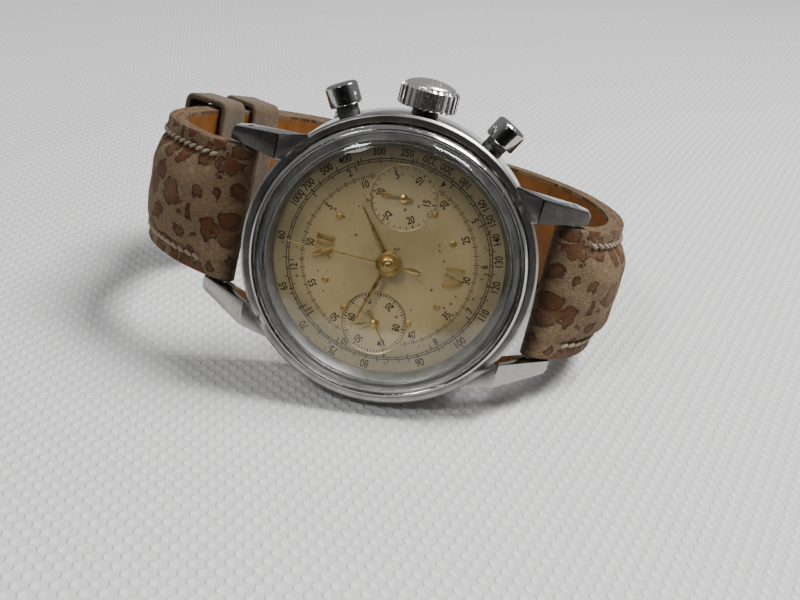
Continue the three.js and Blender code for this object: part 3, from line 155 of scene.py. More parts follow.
# ------------------------------------------------------------------ the watch's own frame
def watch_frame():
    """Turns a point in the watch's frame, in millimetres, into its place on the table, in metres."""
    lay = Matrix(((0, -1, 0), (0, 0, -1), (1, 0, 0)))
    axes = Matrix.Rotation(-REST_TILT, 3, "X") @ Matrix.Rotation(REST_ROLL, 3, "Y") @ lay
    seat = [axes.transposed() @ v.co for v in nodes["reflector_ring"].data.vertices]
    low = [min(p[k] for p in seat) for k in range(3)]
    high = [max(p[k] for p in seat) for k in range(3)]
    middle = Vector(((low[0] + high[0]) / 2, (low[1] + high[1]) / 2, low[2] - REHAUT_FOOT * MM))
    return Matrix.Translation(axes @ middle) @ axes.to_4x4() @ Matrix.Scale(MM, 4)


WATCH = watch_frame()
WATCH_AXES = WATCH.to_3x3().normalized()
WATCH_CENTRE = WATCH.to_translation()


def clock(angle, radius, z=0.0, centre=(0.0, 0.0)):
    """A point at a clock angle in degrees, from twelve and clockwise."""
    a = math.radians(angle)
    return Vector((centre[0] + radius * math.sin(a), centre[1] + radius * math.cos(a), z))


def radial_frame(angle):
    """The frame of a crown or button axis: z runs outwards from the middle of the case."""
    out = Vector((math.cos(angle), math.sin(angle), 0))
    up = Vector((0, 0, 1))
    side = up.cross(out)
    turn = Matrix((side, up, out)).transposed().to_4x4()
    return Matrix.Translation((0, 0, STEM_HEIGHT)) @ turn


# ------------------------------------------------------------------ modelling by hand
def deselect():
    if bpy.context.object and bpy.context.object.mode != "OBJECT":
        bpy.ops.object.mode_set(mode="OBJECT")
    bpy.ops.object.select_all(action="DESELECT")


def take(piece):
    deselect()
    piece.select_set(True)
    bpy.context.view_layer.objects.active = piece
    return piece


def edit(piece):
    take(piece)
    bpy.ops.object.mode_set(mode="EDIT")
    bpy.ops.mesh.select_mode(type="VERT")
    bpy.ops.mesh.select_all(action="SELECT")
    return piece


def chain(name, points):
    """A line of vertices, extruded one after another. It stays in edit mode."""
    deselect()
    bpy.ops.mesh.primitive_plane_add(size=1)
    piece = bpy.context.object
    piece.name = name
    bpy.ops.object.mode_set(mode="EDIT")
    bpy.ops.mesh.select_mode(type="VERT")
    bpy.ops.mesh.select_all(action="SELECT")
    bpy.ops.mesh.merge(type="CENTER")
    bpy.ops.transform.translate(value=points[0])
    for a, b in zip(points, points[1:]):
        step = Vector(b) - Vector(a)
        bpy.ops.mesh.extrude_vertices_move(TRANSFORM_OT_translate={"value": step})
    return piece


def outward():
    """Welds what is being edited and turns its faces outwards."""
    bpy.ops.mesh.select_all(action="SELECT")
    bpy.ops.mesh.remove_doubles(threshold=WELD)
    bpy.ops.mesh.normals_make_consistent(inside=False)
    bpy.ops.object.mode_set(mode="OBJECT")


def smooth(piece, angle=32):
    take(piece)
    bpy.ops.object.shade_smooth_by_angle(angle=math.radians(angle))
    return piece


def rounded(profile, radius, steps=3, closed=True):
    """A profile in two coordinates with each of its corners eased by an arc."""
    points = [Vector(p) for p in profile]
    count = len(points)
    eased = []
    for i, corner in enumerate(points):
        if not closed and i in (0, count - 1):
            eased.append(corner)
            continue
        before, after = points[i - 1] - corner, points[(i + 1) % count] - corner
        reach = min(radius, before.length * 0.4, after.length * 0.4)
        a, b = corner + before.normalized() * reach, corner + after.normalized() * reach
        for k in range(steps + 1):
            t = k / steps
            eased.append(a * (1 - t) ** 2 + corner * 2 * t * (1 - t) + b * t * t)
    return [tuple(p) for p in eased]


def turned(name, profile, ease=0.06, steps=ROUND, closed=True):
    """A lathe piece about z from radii and heights."""
    line = rounded(profile, ease, closed=closed)
    if closed:
        line.append(line[0])
    piece = chain(name, [Vector((r, 0, z)) for r, z in line])
    bpy.ops.mesh.select_all(action="SELECT")
    bpy.ops.mesh.remove_doubles(threshold=WELD)
    bpy.ops.mesh.select_all(action="SELECT")
    bpy.ops.mesh.spin(steps=steps, angle=2 * math.pi, center=(0, 0, 0), axis=(0, 0, 1))
    outward()
    return smooth(piece)


def cut_out(name, outline, low, high, bevel=0.0, bevel_steps=2):
    """A flat outline in x and y, filled and pulled up from low to high, with its edges eased."""
    points = [Vector((x, y, low)) for x, y in outline]
    piece = chain(name, points + points[:1])
    bpy.ops.mesh.select_all(action="SELECT")
    bpy.ops.mesh.remove_doubles(threshold=WELD)
    bpy.ops.mesh.select_all(action="SELECT")
    bpy.ops.mesh.edge_face_add()
    bpy.ops.mesh.extrude_region_move(TRANSFORM_OT_translate={"value": (0, 0, high - low)})
    outward()
    if bevel:
        modify(piece, "BEVEL", width=bevel, segments=bevel_steps, limit_method="ANGLE",
               angle_limit=math.radians(40))
    return smooth(piece)


def modify(piece, kind, **settings):
    take(piece)
    bpy.ops.object.modifier_add(type=kind)
    modifier = piece.modifiers[-1]
    for key, value in settings.items():
        setattr(modifier, key, value)
    bpy.ops.object.modifier_apply(modifier=modifier.name)
    return piece


def boolean(piece, tool, operation="DIFFERENCE"):
    """Cuts or joins with a second shape, which is used up."""
    modify(piece, "BOOLEAN", object=tool, operation=operation, solver="EXACT")
    take(tool)
    bpy.ops.object.delete()
    return piece


def rod(radius, low, high, steps=FINE):
    return turned("rod", [(0, low), (radius, low), (radius, high), (0, high)], ease=0, steps=steps, closed=False)


def apply_place(piece, matrix):
    take(piece)
    piece.matrix_world = matrix @ piece.matrix_world
    bpy.ops.object.transform_apply(location=True, rotation=True, scale=True)
    return piece


def copy_of(piece):
    take(piece)
    bpy.ops.object.duplicate()
    return bpy.context.object


def join(name, pieces):
    take(pieces[0])
    for piece in pieces:
        piece.select_set(True)
    bpy.ops.object.join()
    whole = bpy.context.object
    whole.name = name
    bpy.ops.object.transform_apply(location=True, rotation=True, scale=True)
    return whole


def settle(piece, body, finish, slot, *replaced):
    """Puts a finished piece in its place on the table, on its body, in its finish."""
    apply_place(piece, WATCH)
    for material in ([finish] if not isinstance(finish, (list, tuple)) else finish):
        if material.name not in [m.name for m in piece.data.materials if m]:
            piece.data.materials.append(material)
    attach(piece, body)
    if replaced:
        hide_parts(*replaced)
    return piece


# ------------------------------------------------------------------ finishes: shader maths as sums
class Value:
    """One socket's value inside a finish, so that shader maths reads as Python sums."""

    def __init__(self, finish, socket):
        self.finish = finish
        self.socket = socket

    def sum(self, operation, other, swapped=False):
        pair = [other, self] if swapped else [self, other]
        return self.finish.node("ShaderNodeMath", {"operation": operation}, {0: pair[0], 1: pair[1]})

    def __add__(self, other):
        return self.sum("ADD", other)

    def __radd__(self, other):
        return self.sum("ADD", other, True)

    def __sub__(self, other):
        return self.sum("SUBTRACT", other)

    def __rsub__(self, other):
        return self.sum("SUBTRACT", other, True)

    def __mul__(self, other):
        return self.sum("MULTIPLY", other)

    def __rmul__(self, other):
        return self.sum("MULTIPLY", other, True)

    def __truediv__(self, other):
        return self.sum("DIVIDE", other)

    def __pow__(self, other):
        return self.sum("POWER", other)

    def least(self, other):
        return self.sum("MINIMUM", other)

    def most(self, other):
        return self.sum("MAXIMUM", other)


class Finish:
    """A procedural material: one shader, and the nodes that feed it."""

    def __init__(self, name, **sockets):
        self.material = bpy.data.materials.new(name)
        self.material.use_nodes = True
        self.tree = self.material.node_tree
        self.tree.nodes.clear()
        self.shader = self.tree.nodes.new("ShaderNodeBsdfPrincipled")
        self.output = self.tree.nodes.new("ShaderNodeOutputMaterial")
        self.tree.links.new(self.shader.outputs[0], self.output.inputs[0])
        for name, value in sockets.items():
            self.feed(self.shader.inputs[name.replace("_", " ")], value)

    def feed(self, socket, value):
        if isinstance(value, Value):
            self.tree.links.new(value.socket, socket)
        else:
            socket.default_value = value

    def set(self, **sockets):
        for name, value in sockets.items():
            self.feed(self.shader.inputs[name.replace("_", " ")], value)

    def node(self, kind, settings=None, inputs=None, output=0):
        made = self.tree.nodes.new(kind)
        for key, value in (settings or {}).items():
            if key == "stops":
                ramp = made.color_ramp
                while len(ramp.elements) < len(value):
                    ramp.elements.new(0.5)
                for stop, (place, shade) in zip(ramp.elements, value):
                    stop.position = place
                    stop.color = shade if len(shade) == 4 else (*shade, 1)
            else:
                setattr(made, key, value)
        for key, value in (inputs or {}).items():
            self.feed(made.inputs[key], value)
        return Value(self, made.outputs[output])

    def point(self):
        return self.node("ShaderNodeTexCoord", output="Object")

    def along(self, vector, direction):
        """How far a vector reaches in a direction."""
        return self.node("ShaderNodeVectorMath", {"operation": "DOT_PRODUCT"}, {0: vector, 1: direction}, "Value")

    def dial_place(self, centre=(0, 0)):
        """Where a point is from a centre on the dial: across, up and out, in millimetres."""
        middle = WATCH @ Vector((centre[0], centre[1], 0))
        away = self.node("ShaderNodeVectorMath", {"operation": "SUBTRACT"}, {0: self.point(), 1: middle})
        return [self.along(away, WATCH_AXES.col[k] / MM) for k in range(3)]

    def vector(self, x, y, z):
        return self.node("ShaderNodeCombineXYZ", None, {0: x, 1: y, 2: z})

    def noise(self, vector, scale, detail=3, roughness=0.5, distortion=0.0):
        sockets = {"Vector": vector, "Scale": scale, "Detail": detail, "Roughness": roughness,
                   "Distortion": distortion}
        return self.node("ShaderNodeTexNoise", {"noise_dimensions": "3D"}, sockets)

    def cells(self, vector, scale, feature="F1", output="Distance", randomness=1.0):
        sockets = {"Vector": vector, "Scale": scale, "Randomness": randomness}
        return self.node("ShaderNodeTexVoronoi", {"feature": feature}, sockets, output)

    def step(self, value, low, high, to_low=0.0, to_high=1.0):
        """A smooth step from to_low at low to to_high at high."""
        sockets = {"Value": value, "From Min": low, "From Max": high, "To Min": to_low, "To Max": to_high}
        return self.node("ShaderNodeMapRange", {"interpolation_type": "SMOOTHSTEP"}, sockets)

    def blend(self, share, first, second, mode="MIX"):
        """A mix of two colours, from first at 0 to second at 1."""
        colours = [c if isinstance(c, Value) or len(c) == 4 else (*c, 1) for c in (first, second)]
        return self.node("ShaderNodeMix", {"data_type": "RGBA", "blend_type": mode},
                         {0: share, 6: colours[0], 7: colours[1]}, 2)

    def ramp(self, share, *stops):
        return self.node("ShaderNodeValToRGB", {"stops": stops}, {"Fac": share})

    def bump(self, height, distance, strength=1.0):
        """Raises the surface by a height from 0 to 1, times a distance in millimetres."""
        sockets = {"Height": height, "Distance": distance * MM, "Strength": strength}
        self.set(Normal=self.node("ShaderNodeBump", None, sockets))


def radius_of(x, y):
    return (x * x + y * y) ** 0.5


def scuffs(finish, place, scale=1.0):
    """Fine hairline scratches, 0 to 1, from two long thin noises that cross."""
    across = finish.node("ShaderNodeMapping", None,
                         {"Vector": place, "Rotation": (0.3, 0.5, 0.9), "Scale": (6000 * scale, 260 * scale, 900 * scale)})
    down = finish.node("ShaderNodeMapping", None,
                       {"Vector": place, "Rotation": (0.9, 0.1, 2.2), "Scale": (300 * scale, 5200 * scale, 1200 * scale)})
    first = finish.step(finish.noise(across, 1, 2), 0.60, 0.72)
    second = finish.step(finish.noise(down, 1, 2), 0.62, 0.74)
    return first.most(second)


def polished_steel(name, tint=(0.46, 0.455, 0.45), rough=0.08, wear=0.16):
    finish = Finish(name, Metallic=1.0)
    place = finish.point()
    marks = scuffs(finish, place)
    cloud = finish.noise(place, 260, 4)
    finish.set(Base_Color=finish.blend(finish.step(cloud, 0.35, 0.7), tint, tuple(0.86 * c for c in tint)),
               Roughness=rough + cloud * 0.07 + marks * wear)
    finish.bump(marks, 0.004, 0.5)
    return finish.material


def brushed_case():
    """Case steel: a fine circular brushing round the dial's axis, with dings and a few scratches."""
    finish = Finish("steel_case_brushed", Metallic=1.0)
    x, y, z = finish.dial_place()
    lines = finish.noise(finish.vector(radius_of(x, y) * 9, z * 9, 0.02 * x), 1, 4, 0.7)
    marks = scuffs(finish, finish.point())
    cloud = finish.noise(finish.point(), 420, 4)
    shade = finish.blend(finish.step(cloud, 0.3, 0.7), (0.40, 0.385, 0.36), (0.28, 0.268, 0.25))
    finish.set(Base_Color=shade, Roughness=0.26 + lines * 0.12 + marks * 0.1)
    finish.bump(lines * 0.5 + marks, 0.006, 0.35)
    return finish.material


def lug_steel():
    """The lugs' long facets: polished once, now finely pitted and hairlined; the lugs on the three o'clock side are
    painted near black as a painted dark reflection.
    """
    finish = Finish("steel_lug_facet", Metallic=1.0)
    place = finish.point()
    marks = scuffs(finish, place, 0.8)
    pits = finish.step(finish.cells(place, 2100), 0.16, 0.05)
    cloud = finish.noise(place, 700, 5)
    x, y, z = finish.dial_place()
    # painted dark reflection: the three o'clock lugs get a near black steel (upper), the nine o'clock lugs a lit grey
    # steel (lower)
    upper = finish.blend(cloud, (0.020, 0.018, 0.017), (0.085, 0.078, 0.072))
    lower = finish.blend(cloud, (0.30, 0.285, 0.26), (0.44, 0.42, 0.385))
    finish.set(Base_Color=finish.blend(finish.step(x, -2, 2), lower, upper),
               Roughness=0.12 + cloud * 0.10 + marks * 0.25 + pits * 0.3)
    finish.bump(1 - pits.most(marks * 0.4), 0.012, 0.5)
    return finish.material


def rehaut_steel():
    finish = Finish("steel_rehaut_satin", Metallic=1.0)
    x, y, z = finish.dial_place()
    cloud = finish.noise(finish.point(), 330, 5, 0.6)
    lines = finish.noise(finish.vector(x * 0.6, y * 0.6, z * 14), 1, 3)
    finish.set(Base_Color=finish.blend(finish.step(cloud, 0.35, 0.75), (0.26, 0.265, 0.26), (0.13, 0.13, 0.125)),
               Roughness=0.3 + lines * 0.15)
    return finish.material


def dark_steel():
    """The sleeves under the crown and buttons: greyed, with old dirt."""
    finish = Finish("steel_sleeve_dark", Metallic=0.85)
    dirt = finish.noise(finish.point(), 1500, 5, 0.7)
    finish.set(Base_Color=finish.ramp(dirt, (0.35, (0.02, 0.022, 0.02)), (0.65, (0.12, 0.125, 0.12))),
               Roughness=0.35 + dirt * 0.3)
    finish.bump(dirt, 0.03)
    return finish.material


def dial_lacquer():
    """Aged champagne lacquer: warmer in the middle, greyer round the edge, with fine specks and a grain, and a painted
    shade that darkens it towards three o'clock near its edge.
    """
    finish = Finish("lacquer_dial_champagne", Coat_Weight=0.12, Coat_Roughness=0.25)
    x, y, z = finish.dial_place()
    place = finish.point()
    radius = radius_of(x, y)
    cloud = finish.noise(place, 150, 5, 0.6)
    grain = finish.noise(place, 5200, 3, 0.6)
    specks = finish.step(finish.cells(place, 760), 0.17, 0.09) * finish.step(finish.noise(place, 210, 2), 0.38, 0.54)
    stains = finish.step(finish.noise(place, 420, 6, 0.7), 0.60, 0.78)
    warm = finish.blend(finish.step(cloud, 0.3, 0.72), (0.34, 0.265, 0.13), (0.26, 0.20, 0.092))
    edge = finish.blend(finish.step(cloud, 0.3, 0.72), (0.235, 0.185, 0.098), (0.17, 0.135, 0.07))
    ground = finish.blend(finish.step(radius, 9.4, 12.4), warm, edge)
    grooves = grain * 0.4
    for side in (-1, 1):
        u, v, _ = finish.dial_place((side * SUBDIAL_PLACE, 0))
        away = radius_of(u, v)
        inside = finish.step(away, SUBDIAL_RADIUS, SUBDIAL_RADIUS - 0.05)
        ground = finish.blend(inside, ground, finish.blend(cloud, (0.38, 0.305, 0.165), (0.30, 0.235, 0.12)))
        rings = finish.node("ShaderNodeMath", {"operation": "SINE"}, {0: away * 40})
        grooves = grooves + inside * rings * 0.25
    # painted shade: the dial is darkened towards three o'clock and its edge, where the bezel's shade falls
    painted_shade = finish.step(x, 2.5, 13) * finish.step(radius, 6, 12)
    ground = finish.blend(painted_shade * 0.72, ground, (0.085, 0.068, 0.04))
    aged = finish.blend(stains * 0.45, ground, (0.20, 0.14, 0.06))
    finish.set(Base_Color=finish.blend(specks * 0.85, aged, (0.045, 0.032, 0.018)),
               Metallic=0.35, Roughness=0.42 + grain * 0.12)
    finish.bump(grooves, 0.008, 0.5)
    return finish.material


def black_ink():
    finish = Finish("ink_dial_black", Specular_IOR_Level=0.15)
    wear = finish.noise(finish.point(), 2600, 3)
    finish.set(Base_Color=finish.ramp(wear, (0.3, (0.003, 0.003, 0.002)), (0.75, (0.018, 0.015, 0.011))), Roughness=0.6)
    return finish.material


def gilt(name="gilt_hands", light=(0.50, 0.35, 0.13), dark=(0.20, 0.125, 0.035), rough=0.24):
    finish = Finish(name, Metallic=1.0)
    place = finish.point()
    tarnish = finish.noise(place, 900, 5, 0.65)
    marks = scuffs(finish, place, 1.4)
    finish.set(Base_Color=finish.blend(finish.step(tarnish, 0.42, 0.68), light, dark),
               Roughness=rough + tarnish * 0.2 + marks * 0.1)
    finish.bump(tarnish, 0.01, 0.4)
    return finish.material


def clear_acrylic():
    """Domed acrylic that bends the view and still lets the lamps reach the dial."""
    finish = Finish("acrylic_crystal_clear", Transmission_Weight=1.0, IOR=1.42)
    place = finish.point()
    marks = scuffs(finish, place, 0.55)
    finish.set(Base_Color=(0.985, 0.988, 0.98, 1), Roughness=marks * 0.06)
    finish.bump(marks, 0.002, 0.25)
    clear = finish.tree.nodes.new("ShaderNodeBsdfTransparent")
    lamp = finish.node("ShaderNodeLightPath", output="Is Shadow Ray")
    mixed = finish.node("ShaderNodeMixShader", None, {0: lamp, 1: Value(finish, finish.shader.outputs[0]),
                                                      2: Value(finish, clear.outputs[0])})
    finish.tree.links.new(mixed.socket, finish.output.inputs[0])
    return finish.material


def strap_place(finish):
    """Across and along the strap from its own map, in millimetres."""
    flat = finish.node("ShaderNodeUVMap", {"uv_map": "strap"})
    return finish.node("ShaderNodeMapping", None, {"Vector": flat, "Scale": (100, 100, 100)})


def spotted_nubuck(name, burnished):
    """Beige nubuck with dark burnt spots, some of them rings, a nap that catches light, and dark ends."""
    finish = Finish(name, Sheen_Weight=0.10, Sheen_Roughness=0.4, Sheen_Tint=(0.8, 0.68, 0.52, 1),
                    Specular_IOR_Level=0.2)
    place = strap_place(finish)
    wander = finish.node("ShaderNodeTexNoise", None, {"Vector": place, "Scale": 0.42, "Detail": 3.0}, "Color")
    loose = finish.node("ShaderNodeVectorMath", {"operation": "MULTIPLY_ADD"},
                        {0: wander, 1: (3.4, 3.4, 3.4), 2: place})
    squeezed = finish.node("ShaderNodeMapping", None, {"Vector": loose, "Scale": (0.35, 0.42, 0.3)})
    away = finish.cells(squeezed, 1, randomness=0.82)
    which = finish.cells(squeezed, 1, output="Color", randomness=0.82)
    lot = finish.node("ShaderNodeSeparateColor", None, {0: which})
    size = finish.step(lot, 0.05, 1, 0.30, 0.56)
    ragged = away + (finish.noise(place, 1.5, 5, 0.7) - 0.5) * 0.34
    spot = finish.step(ragged - size, 0.03, -0.02)
    rim = spot * finish.step(ragged - size, -0.13, -0.02)
    hollow = finish.step(ragged, 0.13, 0.07) * finish.step(Value(finish, lot.socket.node.outputs[1]), 0.55, 0.65)
    nap = finish.noise(place, 5.5, 5, 0.75)
    hairs = finish.noise(finish.node("ShaderNodeMapping", None, {"Vector": place, "Scale": (7, 1.6, 7)}), 1, 4, 0.7)
    wear = finish.noise(place, 0.16, 3)
    ground = finish.ramp(hairs * 0.45 + nap * 0.35 + wear * 0.2,
                         (0.34, (0.045, 0.028, 0.014)), (0.5, (0.155, 0.103, 0.056)), (0.66, (0.33, 0.24, 0.15)))
    faded = finish.step(wear, 0.42, 0.62, 0.92, 0.62)
    burnt = finish.blend(nap, (0.040, 0.0125, 0.0028), (0.125, 0.041, 0.010))
    marked = finish.blend(spot * faded, ground, burnt)
    marked = finish.blend(rim * 0.75, marked, (0.014, 0.005, 0.002))
    marked = finish.blend(hollow * 0.8 * spot, marked, (0.13, 0.07, 0.03))
    ends = finish.node("ShaderNodeAttribute", {"attribute_name": "worn", "attribute_type": "GEOMETRY"}, None, "Fac")
    marked = finish.blend(ends, marked, burnished)
    finish.set(Base_Color=marked, Roughness=0.80 + nap * 0.15 - spot * 0.10 - ends * 0.2)
    creases = finish.noise(finish.node("ShaderNodeMapping", None, {"Vector": place, "Scale": (0.9, 2.4, 1)}), 1, 4, 0.6)
    finish.bump(nap * 0.6 + hairs * 0.5 + creases * 1.3 - spot * 0.3, 0.24, 0.8)
    return finish.material


def smooth_lining():
    """Smooth tan lining leather, darkened where it has been worn."""
    finish = Finish("leather_lining_tan", Specular_IOR_Level=0.35)
    place = strap_place(finish)
    pores = finish.cells(place, 4.5)
    cloud = finish.noise(place, 0.35, 4)
    fine = finish.noise(place, 9, 3)
    finish.set(Base_Color=finish.ramp(cloud * 0.7 + fine * 0.3, (0.3, (0.12, 0.040, 0.006)), (0.7, (0.24, 0.092, 0.016))),
               Roughness=0.46 + fine * 0.12)
    finish.bump(pores * 0.5 + fine * 0.5, 0.04, 0.5)
    return finish.material


def thread():
    """Waxed cream thread, twisted."""
    finish = Finish("thread_cream", Sheen_Weight=0.3)
    place = finish.point()
    fibre = finish.noise(place, 7000, 3)
    finish.set(Base_Color=finish.blend(fibre, (0.17, 0.115, 0.07), (0.36, 0.27, 0.18)), Roughness=0.82)
    finish.bump(fibre, 0.05)
    return finish.material


def plain_metal(name, tint, rough, metallic=1.0):
    finish = Finish(name, Metallic=metallic)
    cloud = finish.noise(finish.point(), 900, 4)
    finish.set(Base_Color=finish.blend(cloud, tint, tuple(0.75 * c for c in tint)), Roughness=rough + cloud * 0.15)
    return finish.material


STEEL_CASE = brushed_case()
STEEL_LUG = lug_steel()
STEEL_BRIGHT = polished_steel("steel_polished")
# The crown's steel has a much brighter tint than the other polished steel: a painted brightening that stands in for
# light its top does not catch.
STEEL_CROWN_PAINTED_BRIGHT = polished_steel("steel_crown_painted_bright", (0.82, 0.79, 0.76), 0.20, 0.2)
STEEL_REHAUT = rehaut_steel()
STEEL_DARK = dark_steel()
LACQUER = dial_lacquer()
INK = black_ink()
GILT = gilt()
GILT_FLAT = gilt("gilt_figures", (0.42, 0.29, 0.11), (0.22, 0.14, 0.05), 0.36)
ACRYLIC = clear_acrylic()
NUBUCK = spotted_nubuck("leather_nubuck_spotted", (0.05, 0.026, 0.012))
LINING = smooth_lining()
THREAD = thread()
PLAIN = {
    "steel": plain_metal("steel_movement", (0.52, 0.53, 0.55), 0.24),
    "brass": plain_metal("brass_wheels", (0.70, 0.50, 0.20), 0.25),
    "plated_brass": plain_metal("brass_rhodium_plated", (0.62, 0.60, 0.56), 0.22),
    "rubber": plain_metal("rubber_seals", (0.025, 0.025, 0.025), 0.7, 0.0),
}


# ------------------------------------------------------------------ case
def pick_faces(piece, test):
    """Selects the faces that a test of their middle and normal picks, in edit mode."""
    take(piece)
    bpy.ops.object.mode_set(mode="EDIT")
    bpy.ops.mesh.select_mode(type="FACE")
    bpy.ops.mesh.select_all(action="DESELECT")
    bpy.ops.object.mode_set(mode="OBJECT")
    for face in piece.data.polygons:
        face.select = bool(test(face.center, face.normal))
    bpy.ops.object.mode_set(mode="EDIT")


def paint_faces(piece, material, test):
    """Gives the picked faces a finish of their own."""
    pick_faces(piece, test)
    bpy.ops.object.material_slot_add()
    piece.material_slots[-1].material = material
    piece.active_material_index = len(piece.material_slots) - 1
    bpy.ops.object.material_slot_assign()
    bpy.ops.object.mode_set(mode="OBJECT")


def lug(side, end):
    """One long tapering lug: a plan pulled up, then sliced along its sloping top and its underside."""
    root = CASE_RADIUS * 0.62
    plan = [
        (side * LUG_INNER, end * root),
        (side * (LUG_INNER + LUG_ROOT), end * root),
        (side * (LUG_INNER + LUG_WIDTH), end * (LUG_END - 0.4)),
        (side * (LUG_INNER + LUG_WIDTH - 0.5), end * LUG_END),
        (side * LUG_INNER, end * LUG_END),
    ]
    piece = cut_out("lug", plan, LUG_TIP_BOTTOM, CASE_TOP)
    slices = [
        ((0, end * LUG_END, LUG_TIP_TOP), (0, end * (CASE_RADIUS - 0.8), CASE_TOP - 1.1), 1),
        ((0, end * (CASE_RADIUS - 0.8), CASE_TOP - 1.1), (0, end * root, CASE_TOP - 0.1), 1),
        ((0, end * (LUG_END - 2), LUG_TIP_BOTTOM), (0, end * CASE_RADIUS, CASE_BOTTOM + 0.2), -1),
    ]
    for here, there, up in slices:
        run = Vector(there) - Vector(here)
        normal = Vector((1, 0, 0)).cross(run)
        normal *= up if normal.z > 0 else -up
        edit(piece)
        bpy.ops.mesh.bisect(plane_co=here, plane_no=normal, use_fill=True, clear_outer=True)
        bpy.ops.object.mode_set(mode="OBJECT")
    edit(piece)
    outward()
    modify(piece, "BEVEL", width=0.16, segments=2, limit_method="ANGLE", angle_limit=math.radians(35))
    return piece


def make_case():
    ring = [(CASE_BORE, CASE_BOTTOM), (CASE_RADIUS - 0.8, CASE_BOTTOM), (CASE_RADIUS, CASE_BOTTOM + 0.8),
            (CASE_RADIUS, CASE_TOP - 0.3), (CASE_RADIUS - 0.3, CASE_TOP), (BEZEL_OUTER + GROOVE, CASE_TOP),
            (BEZEL_OUTER + GROOVE, SEAT_TOP), (BEZEL_INNER - 0.06, SEAT_TOP), (BEZEL_INNER - 0.06, 1.7),
            (CASE_BORE, 1.7)]
    case = turned("case_middle", ring)
    for side in (-1, 1):
        for end in (-1, 1):
            boolean(case, lug(side, end), "UNION")
    boolean(case, rod(CASE_BORE, CASE_BOTTOM - 3, CASE_TOP + 1, ROUND))
    boolean(case, rod(BACK_RADIUS + 0.3, LUG_TIP_BOTTOM - 2, CASE_BOTTOM, ROUND))
    seat = turned("seat", [(BEZEL_INNER - 0.06, SEAT_TOP), (BEZEL_OUTER + GROOVE, SEAT_TOP),
                           (BEZEL_OUTER + GROOVE, CASE_TOP + 2), (BEZEL_INNER - 0.06, CASE_TOP + 2)], ease=0)
    boolean(case, seat)
    for end in (-1, 1):
        hole = rod(0.45, -CASE_RADIUS, CASE_RADIUS, COARSE)
        turn = Matrix.Rotation(math.pi / 2, 4, "Y")
        boolean(case, apply_place(hole, Matrix.Translation((0, end * BAR_PLACE, BAR_HEIGHT)) @ turn))
    for angle, radius in ((0, 1.66), (BUTTON_ANGLE, 1.41), (-BUTTON_ANGLE, 1.41)):
        hole = rod(radius, CASE_BORE - 2, CASE_RADIUS + 2)
        boolean(case, apply_place(hole, radial_frame(angle)))
    smooth(case, 28)
    case.data.materials.append(STEEL_CASE)

    def on_lug(centre, normal):
        return radius_of(centre.x, centre.y) > CASE_RADIUS + 0.1 and normal.z > 0.15

    def on_flank(centre, normal):
        return radius_of(centre.x, centre.y) > CASE_RADIUS - 0.2 and abs(normal.z) <= 0.5

    paint_faces(case, STEEL_LUG, on_lug)
    paint_faces(case, STEEL_BRIGHT, on_flank)
    settle(case, "watch_head", [STEEL_CASE], "steel", "case_body")


def make_rings():
    bezel = turned("bezel_ring", [
        (BEZEL_INNER, 0.96), (BEZEL_OUTER, 0.96), (BEZEL_OUTER, 2.5), (BEZEL_OUTER - 0.14, 2.85),
        (BEZEL_OUTER - 0.42, 3.16), (BEZEL_INNER + 0.2, 3.16), (BEZEL_INNER, 2.98)], ease=0.16)
    settle(bezel, "watch_head", STEEL_BRIGHT, "polished_steel", "bezel")
    top = 3.26 + 1.75
    dome = [(0, top), (4, top - 0.045), (8, top - 0.19), (11.5, top - 0.45), (13.6, top - 0.78), (14.7, top - 1.08),
            (15.35, top - 1.42), (15.70, top - 1.85), (CRYSTAL_OUTER, top - 2.5), (CRYSTAL_OUTER, 1.76),
            (CRYSTAL_INNER, 1.76), (CRYSTAL_INNER, top - 2.6), (CRYSTAL_INNER - 0.25, top - 2.2),
            (13.6, top - 1.85), (11.5, top - 1.5), (8, top - 1.22), (4, top - 1.06), (0, top - 1.0)]
    crystal = turned("crystal_dome", dome, ease=0.5, closed=False)
    smooth(crystal, 60)
    settle(crystal, "watch_head", ACRYLIC, "acrylic", "crystal")
    rehaut = turned("rehaut_ring", [
        (14.14, REHAUT_FOOT), (15.04, REHAUT_FOOT), (15.04, 1.7), (14.79, 1.7), (14.14, 0.26)], ease=0.05)
    settle(rehaut, "watch_head", STEEL_REHAUT, "steel", "reflector_ring")


def make_back():
    back = turned("back_cover", [
        (0, BACK_FACE), (11.4, BACK_FACE), (11.8, BACK_FACE + 0.12), (12.2, BACK_FACE), (BACK_RADIUS - 1, BACK_FACE),
        (BACK_RADIUS, BACK_FACE + 0.8), (BACK_RADIUS, -5.97), (CASE_BORE - 0.06, -5.97), (CASE_BORE - 0.06, -4.9),
        (CASE_BORE - 0.66, -4.9), (CASE_BORE - 0.66, BACK_FACE + 1), (0, BACK_FACE + 1)], ease=0.08, closed=False)
    for k in range(6):
        deselect()
        bpy.ops.mesh.primitive_cube_add(size=1, scale=(2.2, 2.6, 1.2))
        notch = bpy.context.object
        modify(notch, "BEVEL", width=0.2, segments=2)
        place = Matrix.Rotation(math.radians(60 * k + 30), 4, "Z")
        boolean(back, apply_place(notch, place @ Matrix.Translation((0, BACK_RADIUS + 0.55, BACK_FACE + 0.2))))
    smooth(back, 28)
    settle(back, "watch_head", STEEL_CASE, "steel", "case_back")


make_case()
make_rings()
make_back()


